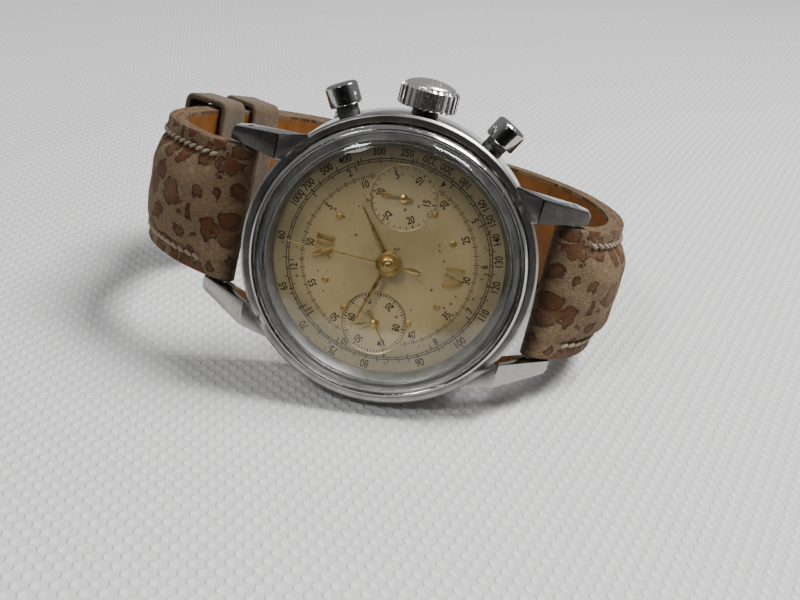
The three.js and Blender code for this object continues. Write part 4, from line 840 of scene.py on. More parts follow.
# ------------------------------------------------------------------ crown and buttons
def make_crown():
    outline = []
    for k in range(CROWN_FLUTES * 8):
        share = (k % 8) / 8
        sink = 0.32 * max(0.0, math.sin(math.pi * min(share / 0.62, 1.0))) ** 0.7
        angle = 2 * math.pi * k / (CROWN_FLUTES * 8)
        outline.append(((CROWN_RADIUS - sink) * math.cos(angle), (CROWN_RADIUS - sink) * math.sin(angle)))
    knurl = cut_out("crown_cap", outline, CROWN_BASE, CROWN_BASE + 2.0)
    for low, rise in ((False, 0.30), (True, -0.22)):
        def end_face(centre, normal):
            return abs(normal.z) > 0.9 and (normal.z < 0) == low
        pick_faces(knurl, end_face)
        bpy.ops.mesh.extrude_region_move(TRANSFORM_OT_translate={"value": (0, 0, rise)})
        bpy.ops.transform.resize(value=(0.93, 0.93, 1), center_override=(0, 0, CROWN_BASE))
        bpy.ops.object.mode_set(mode="OBJECT")
    dome = turned("dome", [
        (0, CROWN_BASE + 1.9), (3.12, CROWN_BASE + 1.9), (3.12, CROWN_BASE + 2.35), (2.9, CROWN_BASE + 2.62),
        (2.2, CROWN_BASE + 2.95), (1.2, CROWN_BASE + 3.2), (0, CROWN_BASE + 3.28)], ease=0.25, closed=False)
    boolean(knurl, dome, "UNION")
    boolean(knurl, rod(2.05, CROWN_BASE - 1, CROWN_BASE + 2))
    smooth(knurl, 35)
    apply_place(knurl, radial_frame(0))
    settle(knurl, "crown_and_stem", STEEL_CROWN_PAINTED_BRIGHT, "polished_steel", "crown")
    sleeve = turned("crown_sleeve", [
        (1.0, 15.2), (1.6, 15.2), (1.6, CROWN_BASE - 0.55), (1.5, CROWN_BASE - 0.5), (1.6, CROWN_BASE - 0.45),
        (1.6, CROWN_BASE + 1.4), (1.0, CROWN_BASE + 1.4)], ease=0.04, steps=FINE)
    apply_place(sleeve, radial_frame(0))
    settle(sleeve, "watch_head", STEEL_DARK, "steel", "crown_tube")


def make_button(name, angle):
    top = BUTTON_BASE + 2.8
    button = turned(f"{name}_button", [
        (0, 14.4), (0.45, 14.4), (0.45, BUTTON_BASE + 1.6), (1.55, BUTTON_BASE + 1.6), (1.55, BUTTON_BASE),
        (1.9, BUTTON_BASE), (2.0, BUTTON_BASE + 0.15), (2.0, top - 0.42), (1.66, top - 0.14), (1.0, top - 0.03),
        (0, top)], ease=0.09, steps=FINE, closed=False)
    apply_place(button, radial_frame(angle))
    settle(button, f"{name}_pusher", STEEL_BRIGHT, "polished_steel", f"{name}_pusher")
    sleeve = turned(f"{name}_sleeve", [
        (0.56, 15.2), (1.35, 15.2), (1.35, 18.5), (1.24, 18.55), (1.35, 18.6), (1.35, BUTTON_BASE - 0.1),
        (1.0, BUTTON_BASE - 0.1), (1.0, 15.7), (0.56, 15.7)], ease=0.03, steps=FINE)
    apply_place(sleeve, radial_frame(angle))
    settle(sleeve, "watch_head", STEEL_DARK, "steel", f"{name}_pusher_tube")


def make_spring(name, angle):
    """The coil spring inside a button."""
    points = []
    for k in range(SPRING_TURNS * 14 + 1):
        turn = 2 * math.pi * k / 14
        along = SPRING_FOOT + (SPRING_HEAD - SPRING_FOOT) * k / (SPRING_TURNS * 14)
        points.append(Vector((SPRING_RADIUS * math.cos(turn), SPRING_RADIUS * math.sin(turn), along)))
    spring = chain(f"{name}_spring", points)
    bpy.ops.object.mode_set(mode="OBJECT")
    bpy.ops.object.convert(target="CURVE")
    spring = bpy.context.object
    spring.data.bevel_depth = SPRING_WIRE
    spring.data.bevel_resolution = 2
    spring.data.use_fill_caps = True
    bpy.ops.object.convert(target="MESH")
    spring = bpy.context.object
    edit(spring)
    outward()
    smooth(spring, 60)
    place = radial_frame(angle)
    apply_place(spring, place)
    settle(spring, "watch_head", PLAIN["steel"], "steel", f"{name}_pusher_spring")
    foot = WATCH @ place @ Vector((0, 0, SPRING_FOOT - SPRING_WIRE))
    head = WATCH @ place @ Vector((0, 0, SPRING_HEAD))
    head - foot
    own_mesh(spring)


SPRING_TURNS = 5
SPRING_RADIUS = 0.755
SPRING_WIRE = 0.13
SPRING_FOOT = 15.85
SPRING_HEAD = 20.58
make_spring("start", BUTTON_ANGLE)
make_spring("reset", -BUTTON_ANGLE)
make_crown()
make_button("start", BUTTON_ANGLE)
make_button("reset", -BUTTON_ANGLE)


# ------------------------------------------------------------------ dial
def make_dial():
    dial = rod(DIAL_RADIUS, -DIAL_THICKNESS, 0, ROUND)
    dial.name = "dial_face"
    boolean(dial, rod(1.15, -1, 1, COARSE))
    for side in (-1, 1):
        place = Matrix.Translation((side * SUBDIAL_PLACE, 0, 0))
        dish = turned("dish", [(0, -SUBDIAL_DEPTH), (SUBDIAL_RADIUS, -SUBDIAL_DEPTH),
                               (SUBDIAL_RADIUS + 0.16, 0.01), (SUBDIAL_RADIUS + 0.16, 1), (0, 1)],
                      ease=0, steps=FINE, closed=False)
        boolean(dial, apply_place(dish, place))
        boolean(dial, apply_place(rod(0.34, -1, 1, COARSE), place))
    smooth(dial, 20)
    settle(dial, "watch_head", LACQUER, "dial_paint", "dial")
    for side, name in ((-1, "running_seconds_rim"), (1, "recorder_rim")):
        rim = turned(name, [(SUBDIAL_RADIUS + 0.02, -0.13), (SUBDIAL_RADIUS + 0.19, 0.005),
                            (SUBDIAL_RADIUS + 0.15, 0.035), (SUBDIAL_RADIUS - 0.02, -0.10)], ease=0.01, steps=FINE)
        apply_place(rim, Matrix.Translation((side * SUBDIAL_PLACE, 0, 0)))
        settle(rim, "watch_head", RIM, "gilt")
    dot = turned("dot", [(0, -0.04), (0.45, -0.04), (0.43, 0.06), (0.34, 0.15), (0.18, 0.205), (0, 0.22)],
                 ease=0.03, steps=24, closed=False)
    dots = []
    for hour in (1, 2, 4, 5, 7, 8, 10, 11):
        dots.append(copy_of(dot))
        dots[-1].location = clock(30 * hour, MARKER_RADIUS)
    take(dot)
    bpy.ops.object.delete()
    settle(join("hour_dots", dots), "watch_head", GILT_FLAT, "gilt")


def tick(angle, inner, outer, width, centre=(0, 0), z=0.0):
    """One printed tick, as a thin bar along a radius."""
    deselect()
    middle = clock(angle, (inner + outer) / 2, z + INK_HEIGHT / 2, centre)
    bpy.ops.mesh.primitive_cube_add(size=1, location=middle, rotation=(0, 0, -math.radians(angle)),
                                    scale=(width, outer - inner, INK_HEIGHT))
    return bpy.context.object


def ticks(angles, inner, outer, width, centre=(0, 0), z=0.0):
    """Ticks at even angles: one bar, then turned copies of it inside one mesh."""
    first = tick(angles[0], inner, outer, width, centre, z)
    bars = [first]
    for angle in angles[1:]:
        bars.append(tick(angle, inner, outer, width, centre, z))
    return join("ticks", bars)


def clear_of_subdials(angle, radius):
    spot = clock(angle, radius)
    return all((spot - Vector((side * SUBDIAL_PLACE, 0, 0))).length > SUBDIAL_RADIUS + 0.3 for side in (-1, 1))


def track(radius, width, centre=(0, 0), z=0.0):
    """A printed circle."""
    ring = turned("track", [(radius - width / 2, z), (radius + width / 2, z), (radius + width / 2, z + INK_HEIGHT),
                            (radius - width / 2, z + INK_HEIGHT)], ease=0)
    if centre != (0, 0):
        apply_place(ring, Matrix.Translation((centre[0], centre[1], 0)))
    return ring


def printed(text, angle, radius, height, centre=(0, 0), z=0.0, squeeze=0.78):
    """A number whose top points out in the upper half of its circle, and in towards the middle in the lower."""
    deselect()
    bpy.ops.object.text_add()
    number = bpy.context.object
    number.data.body = text
    number.data.align_x = "CENTER"
    number.data.align_y = "CENTER"
    number.data.size = height / 0.72
    number.data.extrude = INK_HEIGHT / 2
    number.data.resolution_u = 3
    number.data.offset = INK_SPREAD / number.data.size
    number.data.space_character = 0.95
    bpy.ops.object.convert(target="MESH")
    upside = 90 < angle % 360 < 270
    turn = Matrix.Rotation(-math.radians(angle + (180 if upside else 0)), 4, "Z")
    place = Matrix.Translation(clock(angle, radius, z + INK_HEIGHT / 2, centre))
    return apply_place(bpy.context.object, place @ turn @ Matrix.Diagonal((squeeze, 1, 1, 1)))


def make_printing():
    lines = [track(12.52, 0.10), track(12.22, 0.09)]
    second = [6 * k for k in range(60)]
    lines.append(ticks([a for a in second if a % 30], 12.24, 12.5, 0.10))
    lines.append(ticks([a for a in second if a % 30 == 0], 12.22, 12.78, 0.13))
    speeds = [60, 65, 70, 75, 80, 90, 100, 110, 120, 130, 140, 150, 160, 180, 200, 220, 250, 300, 400, 500, 700, 1000]
    between = [62, 64, 66, 68, 72, 74, 76, 78, 82, 84, 86, 88, 95, 105, 115, 125, 135, 145, 155, 170, 190, 210, 235,
               275, 350, 450, 600, 850]
    lines.append(ticks([21600 / v for v in between], 12.5, 12.94, 0.10))
    lines.append(ticks([21600 / v for v in range(64, 200, 2)], 12.5, 12.72, 0.07))
    for value in speeds:
        lines.append(printed(str(value), 21600 / value, 13.36, 1.0, squeeze=0.80))
    mile = 28.9
    whole = [mile * k for k in range(1, 13)]
    lines.append(ticks([a for a in whole if clear_of_subdials(a, 12)], 11.62, 12.24, 0.12))
    lines.append(ticks([mile * (k + 0.5) for k in range(1, 12)], 11.92, 12.24, 0.10))
    for k in range(2, 13):
        if clear_of_subdials(mile * k - 4, 11.4):
            lines.append(printed(str(k), mile * k - 4.4, 11.6, 0.92))
    fifths = [1.2 * k for k in range(300) if k % 5]
    lines.append(ticks([a for a in fifths if clear_of_subdials(a, 10.6)], 10.42, 10.76, 0.065))
    lines.append(ticks([a for a in second if clear_of_subdials(a, 10.6)], 10.28, 10.9, 0.10))
    for k in range(1, 13):
        if clear_of_subdials(30 * k, 9.9):
            lines.append(printed(str(5 * k), 30 * k, 9.74, 0.94))
    floor = -SUBDIAL_DEPTH
    for side, marks, step, numbers in ((1, 30, 5, range(5, 31, 5)), (-1, 60, 5, range(10, 61, 10))):
        centre = (side * SUBDIAL_PLACE, 0)
        angles = [360 * k / marks for k in range(marks)]
        lines.append(ticks([a for k, a in enumerate(angles) if k % step], 3.5, 3.82, 0.075, centre, floor))
        lines.append(ticks([a for k, a in enumerate(angles) if k % step == 0], 3.4, 3.86, 0.12, centre, floor))
        for value in numbers:
            lines.append(printed(str(value), 360 * value / marks, 2.82, 0.92, centre, floor))
    settle(join("dial_printing", lines), "watch_head", INK, "dial_paint")


def bar_outline(start, end, wide_start, wide_end):
    """A flat tapered stroke between two points."""
    run = (Vector(end) - Vector(start)).normalized()
    side = Vector((-run.y, run.x))
    a, b = Vector(start), Vector(end)
    return [tuple(a - side * wide_start / 2), tuple(b - side * wide_end / 2),
            tuple(b + side * wide_end / 2), tuple(a + side * wide_start / 2)]


def make_figures():
    """The applied twelve and six, in tapered Roman strokes."""
    half = 1.1
    low, high = 0.06, 0.34
    wide, slim = 0.50, 0.40
    strokes = []

    def stroke(x, y, start, end, first=wide, last=slim):
        outline = bar_outline((x + start[0], y + start[1]), (x + end[0], y + end[1]), first, last)
        strokes.append(cut_out("stroke", outline, low, high, 0.06))

    y = MARKER_RADIUS
    stroke(-0.75, y, (-0.64, half), (0.64, -half), 0.44, 0.44)
    stroke(-0.75, y, (0.62, half), (-0.62, -half), 0.24, 0.24)
    stroke(0.55, y, (0, half), (0, -half))
    stroke(1.25, y, (0, half), (0, -half))
    y = -MARKER_RADIUS
    stroke(-0.45, y, (-0.76, half), (-0.02, -half), 0.50, 0.34)
    stroke(-0.45, y, (0.70, half), (0.06, -half), 0.30, 0.28)
    stroke(1.05, y, (0, half), (0, -half))
    settle(join("hour_figures", strokes), "watch_head", GILT_FLAT, "gilt", "numeral_twelve_x",
           "numeral_twelve_first_i", "numeral_twelve_second_i", "numeral_six_v", "numeral_six_i")


# ------------------------------------------------------------------ hands
def place_hand(piece, angle, height, centre, body, node):
    turn = Matrix.Rotation(-math.radians(angle), 4, "Z")
    apply_place(piece, Matrix.Translation((centre[0], centre[1], height)) @ turn)
    settle(piece, body, GILT, "gilt", node)


def hub(steps, bore=0.0):
    """A stepped hub from radii and heights, from its foot up."""
    profile = [(bore, steps[0][1])] + steps + [(bore, steps[-1][1])]
    return turned("hub", profile, ease=0.03, steps=COARSE, closed=bore > 0)


def blade(points, low=0.0, high=HAND_THICKNESS, ease=0.035):
    outline = points + [(-x, y) for x, y in reversed(points) if x > 0]
    return cut_out("blade", outline, low, high, ease)


def make_hands():
    hour = blade([(0.17, -1.6), (0.36, 0), (0.33, 1.6), (0.11, 7.2), (0.0, 7.6)])
    boss = hub([(1.42, 0), (1.42, 0.13), (1.2, 0.17)], 0.99)
    place_hand(join("hand_hours", [hour, boss]), HOUR_HAND_ANGLE, HOUR_HAND_HEIGHT, (0, 0), "hour_hand", "hour_hand")
    minute = blade([(0.16, -1.7), (0.30, 0), (0.28, 2.0), (0.09, 10.2), (0.0, 10.6)])
    boss = hub([(1.08, 0), (1.08, 0.13), (0.92, 0.17)], 0.64)
    place_hand(join("hand_minutes", [minute, boss]), MINUTE_HAND_ANGLE, MINUTE_HAND_HEIGHT, (0, 0), "minute_hand",
               "minute_hand")
    needle = blade([(0.0, -4.2), (0.14, -3.75), (0.40, -3.1), (0.16, -2.45), (0.10, -2.2), (0.12, 0), (0.055, 12.0),
                    (0.0, 12.6)])
    boss = hub([(1.45, 0), (1.47, 0.08), (1.42, 0.16), (1.12, 0.18), (1.08, 0.12), (0.86, 0.12), (0.82, 0.34),
                (0.70, 0.42), (0.42, 0.44), (0.36, 0.56), (0.2, 0.6)])
    place_hand(join("hand_chronograph", [needle, boss]), SECONDS_HAND_ANGLE, SECONDS_HAND_HEIGHT, (0, 0),
               "chrono_seconds", "chrono_seconds_hand")
    leaf = blade([(0.0, -1.0), (0.13, -0.9), (0.10, 0), (0.09, 1.5), (0.30, 2.0), (0.16, 2.6), (0.0, 3.1)])
    boss = hub([(0.5, -0.12), (0.5, 0.16), (0.36, 0.2), (0.2, 0.3)])
    place_hand(join("hand_recorder", [leaf, boss]), 0, SUBHAND_HEIGHT, (SUBDIAL_PLACE, 0), "minute_recorder",
               "minute_recorder_hand")
    needle = blade([(0.0, -1.15), (0.09, -1.1), (0.12, 0), (0.05, 3.2), (0.0, 3.4)])
    boss = hub([(0.5, -0.12), (0.5, 0.16), (0.36, 0.2), (0.2, 0.3)])
    eye = turned("eye", [(0.16, 0), (0.32, 0), (0.32, HAND_THICKNESS), (0.16, HAND_THICKNESS)], steps=24)
    apply_place(eye, Matrix.Translation((0, -1.38, 0)))
    place_hand(join("hand_running_seconds", [needle, boss, eye]), RUNNING_HAND_ANGLE, SUBHAND_HEIGHT,
               (-SUBDIAL_PLACE, 0), "running_seconds", "running_seconds_hand")


INK_HEIGHT = 0.018
INK_SPREAD = 0.022
RIM = gilt("gilt_subdial_rim", (0.34, 0.27, 0.15), (0.22, 0.17, 0.09), 0.3)
make_dial()
make_printing()
make_figures()
make_hands()


# ------------------------------------------------------------------ strap routes
class Route:
    """A smooth line through points (y, z) in the watch's middle plane, measured by distance."""

    def __init__(self, points, side):
        self.side = side
        ends = [2 * Vector(points[0]) - Vector(points[1]), 2 * Vector(points[-1]) - Vector(points[-2])]
        line = [ends[0]] + [Vector(p) for p in points] + [ends[1]]
        self.spots = []
        for i in range(1, len(line) - 2):
            for k in range(SPOTS):
                self.spots.append(self.between(line[i - 1:i + 3], k / SPOTS))
        self.spots.append(Vector(points[-1]))
        self.distances = [0.0]
        for a, b in zip(self.spots, self.spots[1:]):
            self.distances.append(self.distances[-1] + (b - a).length)
        self.length = self.distances[-1]

    @staticmethod
    def between(four, t):
        """A centripetal curve between the middle two of four points."""
        a, b, c, d = four
        first, middle, last = [(q - p).length ** 0.5 for p, q in ((a, b), (b, c), (c, d))]
        start = ((b - a) / first - (c - a) / (first + middle) + (c - b) / middle) * middle
        end = ((c - b) / middle - (d - b) / (middle + last) + (d - c) / last) * middle
        return (b + start * t + (3 * (c - b) - 2 * start - end) * t ** 2
                + (2 * (b - c) + start + end) * t ** 3)

    def at(self, distance):
        """Point, direction and outward side at a distance along the route."""
        distance = min(max(distance, 0.0), self.length)
        i = 0
        while i < len(self.distances) - 2 and self.distances[i + 1] < distance:
            i += 1
        span = self.distances[i + 1] - self.distances[i]
        point = self.spots[i].lerp(self.spots[i + 1], (distance - self.distances[i]) / span)
        ahead = self.spots[min(i + 3, len(self.spots) - 1)] - self.spots[max(i - 2, 0)]
        ahead.normalize()
        return point, ahead, Vector((-ahead.y, ahead.x)) * self.side

    def nearest(self, point):
        gaps = [(spot - Vector(point)).length for spot in self.spots]
        return self.distances[gaps.index(min(gaps))]


SPOTS = 60


def ease(value, low, high):
    t = min(max((value - low) / (high - low), 0.0), 1.0)
    return t * t * (3 - 2 * t)


def pad_height(distance):
    if distance < PADDING_PEAK:
        return STRAP_END_ROUND + (STRAP_PADDING - STRAP_END_ROUND) * ease(distance, 0, PADDING_PEAK)
    return STRAP_PADDING + (STRAP_FLAT - STRAP_PADDING) * ease(distance, PADDING_PEAK, PADDING_END)


def margin_height(distance):
    return STRAP_END_ROUND + (STRAP_MARGIN - STRAP_END_ROUND) * ease(distance, 0, PADDING_PEAK)


def inner_depth(distance):
    return STRAP_END_ROUND + (STRAP_INNER - STRAP_END_ROUND) * ease(distance, 0, PADDING_PEAK)


def taper(distance, length):
    return STRAP_WIDTH + (BUCKLE_END_WIDTH - STRAP_WIDTH) * min(distance / length, 1)


BUCKLE_DEPTH = -(LOOP_DEPTH - 2)
BUCKLE_ROUTE = Route([
    (BAR_PLACE - STRAP_END_ROUND, BAR_HEIGHT), (BAR_PLACE, BAR_HEIGHT), (BAR_PLACE + 6.6, BAR_HEIGHT - 3),
    (OUT_TWELVE - 0.6, BAR_HEIGHT - 10), (OUT_TWELVE, BAR_HEIGHT - 18), (OUT_TWELVE - 2.9, BUCKLE_DEPTH + 14.5),
    (OUT_TWELVE - 8, BUCKLE_DEPTH + 6.6), (BUCKLE_PLACE + 4.6, BUCKLE_DEPTH + 1.2), (BUCKLE_PLACE, BUCKLE_DEPTH),
], 1)
BAR_SPOT, BUCKLE_T, BUCKLE_N = BUCKLE_ROUTE.at(BUCKLE_ROUTE.length)


def buckle_spot(t, n):
    """A point beside the buckle's bar: t along the strap away from the buckle half, n outwards."""
    return BAR_SPOT + BUCKLE_T * t + BUCKLE_N * n


def tail_points():
    offset = STRAP_FLAT + STRAP_INNER + STRAP_GAP
    points = [
        (-(BAR_PLACE - STRAP_END_ROUND), BAR_HEIGHT), (-BAR_PLACE, BAR_HEIGHT),
        (-(BAR_PLACE + 4.6), BAR_HEIGHT - 3.6), (-(OUT_SIX - 0.3), BAR_HEIGHT - 11.5),
        (-(OUT_SIX - 0.6), -LOOP_DEPTH + 22), (-(OUT_SIX - 4.8), -LOOP_DEPTH + 11),
        (-(OUT_SIX - 13.5), -LOOP_DEPTH + 3), (-4, -LOOP_DEPTH + 0.2),
        buckle_spot(BUCKLE_REACH, BUCKLE_LIFT - BUCKLE_WIRE / 2 - STRAP_GAP * 3 - STRAP_FLAT),
        buckle_spot(-0.4, 1.6 + STRAP_GAP + STRAP_INNER),
    ]
    for i in range(1, 6):
        distance = BUCKLE_ROUTE.length - 2.5 - (TAIL_OVERLAP - 2.5) * i / 5
        point, _, out = BUCKLE_ROUTE.at(distance)
        points.append(point + out * max(pad_height(distance) + STRAP_INNER + STRAP_GAP, offset))
    return points


TAIL_ROUTE = Route(tail_points(), -1)


def tail_width(distance):
    narrowing = taper(distance, TAIL_ROUTE.length * 0.75)
    left = TAIL_ROUTE.length - distance
    if left > 6:
        return narrowing
    return narrowing * math.sqrt(max(1 - ((6 - left) / 6.15) ** 2, 0.04))


def buckle_width(distance):
    return taper(distance, BUCKLE_ROUTE.length)


# ------------------------------------------------------------------ strap
AROUND = 88
TOP_SHARE = 0.62
EDGE_ROUND = 0.42


def section(width, distance, length, share, tail):
    """A point (across, rise, lining) on the strap's section. share runs once round it, first over the top."""
    reach = width / 2
    low, margin, pad = -inner_depth(distance), margin_height(distance), pad_height(distance)
    if share <= TOP_SHARE:
        across = -math.cos(math.pi * share / TOP_SHARE)
        across = (across * 0.45 + (2 * share / TOP_SHARE - 1) * 0.55) * reach
        shoulder = max(reach - MARGIN_WIDTH, 0.4)
        swell = max(0.0, 1 - abs(across / shoulder) ** 3.2) ** 0.62
        rise = margin + (pad - margin) * swell
        seam = math.exp(-((abs(across) - shoulder) / 0.35) ** 2)
        rise -= 0.16 * seam * ease(distance, 1.5, 5)
        drop = max(0.0, abs(across) - (reach - EDGE_ROUND)) / EDGE_ROUND
        rise -= EDGE_ROUND * (1 - math.sqrt(max(0.0, 1 - drop ** 2)))
    else:
        under = (share - TOP_SHARE) / (1 - TOP_SHARE)
        across = reach * (1 - 2 * under)
        drop = max(0.0, abs(across) - (reach - 0.3)) / 0.3
        rise = low + 0.3 * (1 - math.sqrt(max(0.0, 1 - drop ** 2)))
    fold = STRAP_END_ROUND
    pinch = math.sqrt(max(0.0, 1 - (1 - min(distance / fold, 1.0)) ** 2))
    left = length - distance
    if not tail:
        pinch *= math.sqrt(max(0.0, 1 - (1 - min(left / 0.9, 1.0)) ** 2)) * 0.9 + 0.1
    else:
        pinch *= 0.55 + 0.45 * math.sqrt(max(0.0, 1 - (1 - min(left / 0.6, 1.0)) ** 2))
    return across, rise * max(pinch, 0.02)


def crumple(across, distance, rise):
    """Small hollows and creases of worn, padded leather on its outer side."""
    wave = 0.10 * math.sin(0.55 * across + 0.9 * math.sin(0.23 * distance + 0.6))
    wave += 0.07 * math.sin(0.83 * distance + 1.7 * math.sin(0.31 * across))
    wave += 0.05 * math.sin(1.37 * across + 0.61 * distance)
    fold = -0.22 * math.exp(-((distance - 6.5 - 0.08 * across) / 0.7) ** 2)
    fold -= 0.16 * math.exp(-((distance - 9.6 + 0.12 * across) / 0.6) ** 2)
    return (wave + fold * 0.6) * ease(rise, 1.2, 2.4)


def make_strap(name, route, width_at, tail, node, stations):
    """A long sheet folded round its own section, bent along its route, with its ends closed."""
    deselect()
    bpy.ops.mesh.primitive_grid_add(x_subdivisions=AROUND, y_subdivisions=stations, size=1)
    strap = bpy.context.object
    strap.name = name
    columns = sorted({round(v.co.x, 5) for v in strap.data.vertices})
    rows = sorted({round(v.co.y, 5) for v in strap.data.vertices})
    columns = {x: i / (len(columns) - 1) for i, x in enumerate(columns)}
    rows = {y: j / (len(rows) - 1) for j, y in enumerate(rows)}
    spread = []
    for vertex in strap.data.vertices:
        share = columns[round(vertex.co.x, 5)]
        along = rows[round(vertex.co.y, 5)]
        bunch = 0.12 * (math.sin(2 * math.pi * along) / (2 * math.pi))
        distance = route.length * (along - bunch)
        across, rise = section(width_at(distance), distance, route.length, share, tail)
        if share <= TOP_SHARE:
            rise += crumple(across, distance, rise)
        point, _, out = route.at(distance)
        spread.append((across, distance, share))
        vertex.co = Vector((across, point.x + out.x * rise, point.y + out.y * rise))
    chart = strap.data.uv_layers[0]
    chart.name = "strap"
    for loop in strap.data.loops:
        across, distance, share = spread[loop.vertex_index]
        under = 0 if share <= TOP_SHARE else 0.4
        chart.data[loop.index].uv = (across / 100 + under, distance / 100)
    worn = strap.data.attributes.new("worn", "FLOAT", "POINT")
    for index, (across, distance, share) in enumerate(spread):
        ragged = 0.5 * math.sin(2.1 * across) + 0.3 * math.sin(5.3 * across + 1)
        dark = 1 - ease(distance + ragged, 0.4, 1.9)
        worn.data[index].value = 0.7 * dark
    for face in strap.data.polygons:
        shares = [spread[v][2] for v in face.vertices]
        face.material_index = 1 if min(shares) > TOP_SHARE + 0.012 and max(shares) < 0.988 else 0
    edit(strap)
    bpy.ops.mesh.remove_doubles(threshold=WELD)
    bpy.ops.mesh.select_all(action="DESELECT")
    bpy.ops.mesh.select_mode(type="EDGE")
    bpy.ops.mesh.select_non_manifold()
    bpy.ops.mesh.fill_holes(sides=0)
    bpy.ops.mesh.select_all(action="SELECT")
    bpy.ops.mesh.normals_make_consistent(inside=False)
    bpy.ops.object.mode_set(mode="OBJECT")
    strap.data.materials.append(NUBUCK)
    strap.data.materials.append(LINING)
    return strap


def box_between(corners, left, right):
    """A block through the strap from its outline beside the buckle."""
    piece = cut_out("block", [tuple(buckle_spot(t, n)) for t, n in corners], left, right)
    return apply_place(piece, Matrix(((0, 0, 1, 0), (1, 0, 0, 0), (0, 1, 0, 0), (0, 0, 0, 1))))


def cross_rod(radius, y, z, reach):
    piece = rod(radius, -reach, reach, COARSE)
    return apply_place(piece, Matrix.Translation((0, y, z)) @ Matrix.Rotation(math.pi / 2, 4, "Y"))


def stitches(name, route, width_at, start, stop, body="watch_head"):
    """Two rows of twisted stitches: one stitch is modelled, then copied along both margins."""
    deselect()
    bpy.ops.mesh.primitive_uv_sphere_add(segments=10, ring_count=8, radius=1)
    one = bpy.context.object
    edit(one)
    bpy.ops.transform.resize(value=(0.27, 0.64, 0.26))
    bpy.ops.object.mode_set(mode="OBJECT")
    modify(one, "SIMPLE_DEFORM", deform_method="TAPER", deform_axis="Y", factor=0.35)
    smooth(one, 80)
    row = []
    count = int((stop - start) / STITCH_PITCH)
    for side in (-1, 1):
        for k in range(count):
            distance = start + STITCH_PITCH * k + (0.12 * math.sin(7.1 * k + side))
            point, ahead, out = route.at(distance)
            across = side * (width_at(distance) / 2 - MARGIN_WIDTH + 0.55)
            rise = margin_height(distance) + 0.10
            stitch = copy_of(one)
            axes = Matrix(((1, 0, 0), (0, ahead.x, out.x), (0, ahead.y, out.y))).to_4x4()
            lie = Matrix.Rotation(side * math.radians(24), 4, "Z") @ Matrix.Rotation(math.radians(7), 4, "X")
            stitch.matrix_world = Matrix.Translation((across, point.x + out.x * rise,
                                                      point.y + out.y * rise)) @ axes @ lie
            row.append(stitch)
    take(one)
    bpy.ops.object.delete()
    settle(join(name, row), body, THREAD, "strap_leather")


def make_straps():
    strap = make_strap("strap_twelve", BUCKLE_ROUTE, buckle_width, False, "strap_buckle_half", 150)
    boolean(strap, cross_rod(BUCKLE_BAR_RADIUS + 0.15, BAR_SPOT.x, BAR_SPOT.y, 12))
    boolean(strap, box_between([(-3.4, -3), (4, -3), (4, 3), (-3.4, 3)], -1.35, 1.35))
    smooth(strap, 50)
    settle(strap, "watch_head", [NUBUCK, LINING], "strap_leather", "strap_buckle_half")
    strap = make_strap("strap_six", TAIL_ROUTE, tail_width, True, "strap_tail_half", 230)
    used = TAIL_ROUTE.nearest(buckle_spot(3.4, 1.7))
    for step in (-2, -1, 1, 2):
        point, ahead, out = TAIL_ROUTE.at(used + step * 7)
        axes = Matrix(((1, 0, 0), (0, ahead.x, out.x), (0, ahead.y, out.y))).to_4x4()
        hole = rod(1.0, -3, 3, 24)
        boolean(strap, apply_place(hole, Matrix.Translation((0, point.x, point.y)) @ axes))
    boolean(strap, box_between([(-0.4, -1.5), (6.2, -1.5), (6.2, 5.5), (-0.4, 5.5)], -1.08, 1.08))
    smooth(strap, 50)
    settle(strap, "watch_head", [NUBUCK, LINING], "strap_leather", "strap_tail_half")
    stitches("stitching_twelve", BUCKLE_ROUTE, buckle_width, 5.0, BUCKLE_ROUTE.length - 9)
    stitches("stitching_six", TAIL_ROUTE, tail_width, 5.0, TAIL_ROUTE.length - 8)


STITCH_PITCH = 1.22
make_straps()


# ------------------------------------------------------------------ keepers and buckle
def make_keeper(name, place, body, node):
    """A leather band round both layers of the strap, with its raw edges eased."""
    point, ahead, out = BUCKLE_ROUTE.at(place)
    reach = buckle_width(place) / 2 + STRAP_GAP * 1.3
    low = -STRAP_INNER - STRAP_GAP * 1.5
    high = 2 * STRAP_FLAT + STRAP_INNER + STRAP_GAP * 2.6
    wide, under, over = reach + KEEPER_WALL, low - KEEPER_WALL, high + KEEPER_WALL
    outer = rounded([(-wide, under), (wide, under), (wide, over), (-wide, over)], 1.5, 6)
    inner = rounded([(-reach, low), (reach, low), (reach, high), (-reach, high)], 0.7, 6)
    band = cut_out(name, outer, -KEEPER_LENGTH / 2, KEEPER_LENGTH / 2)
    boolean(band, cut_out("inside", inner, -KEEPER_LENGTH, KEEPER_LENGTH))
    modify(band, "BEVEL", width=0.28, segments=3, limit_method="ANGLE", angle_limit=math.radians(50))
    smooth(band, 50)
    axes = Matrix(((1, 0, 0), (0, out.x, ahead.x), (0, out.y, ahead.y))).to_4x4()
    apply_place(band, Matrix.Translation((0, point.x, point.y)) @ axes)
    settle(band, body, KEEPER, "keeper_leather", node)


def keeper_leather():
    """Darker nubuck, cut as a band, read in the band's own place."""
    finish = Finish("leather_keeper_brown", Sheen_Weight=0.25, Specular_IOR_Level=0.2)
    place = finish.point()
    nap = finish.noise(place, 1800, 5, 0.7)
    cloud = finish.noise(place, 260, 3)
    finish.set(Base_Color=finish.ramp(nap * 0.5 + cloud * 0.5, (0.32, (0.045, 0.028, 0.015)),
                                      (0.55, (0.10, 0.066, 0.038)), (0.72, (0.17, 0.12, 0.075))),
               Roughness=0.78 + nap * 0.15)
    finish.bump(nap, 0.09, 0.6)
    return finish.material


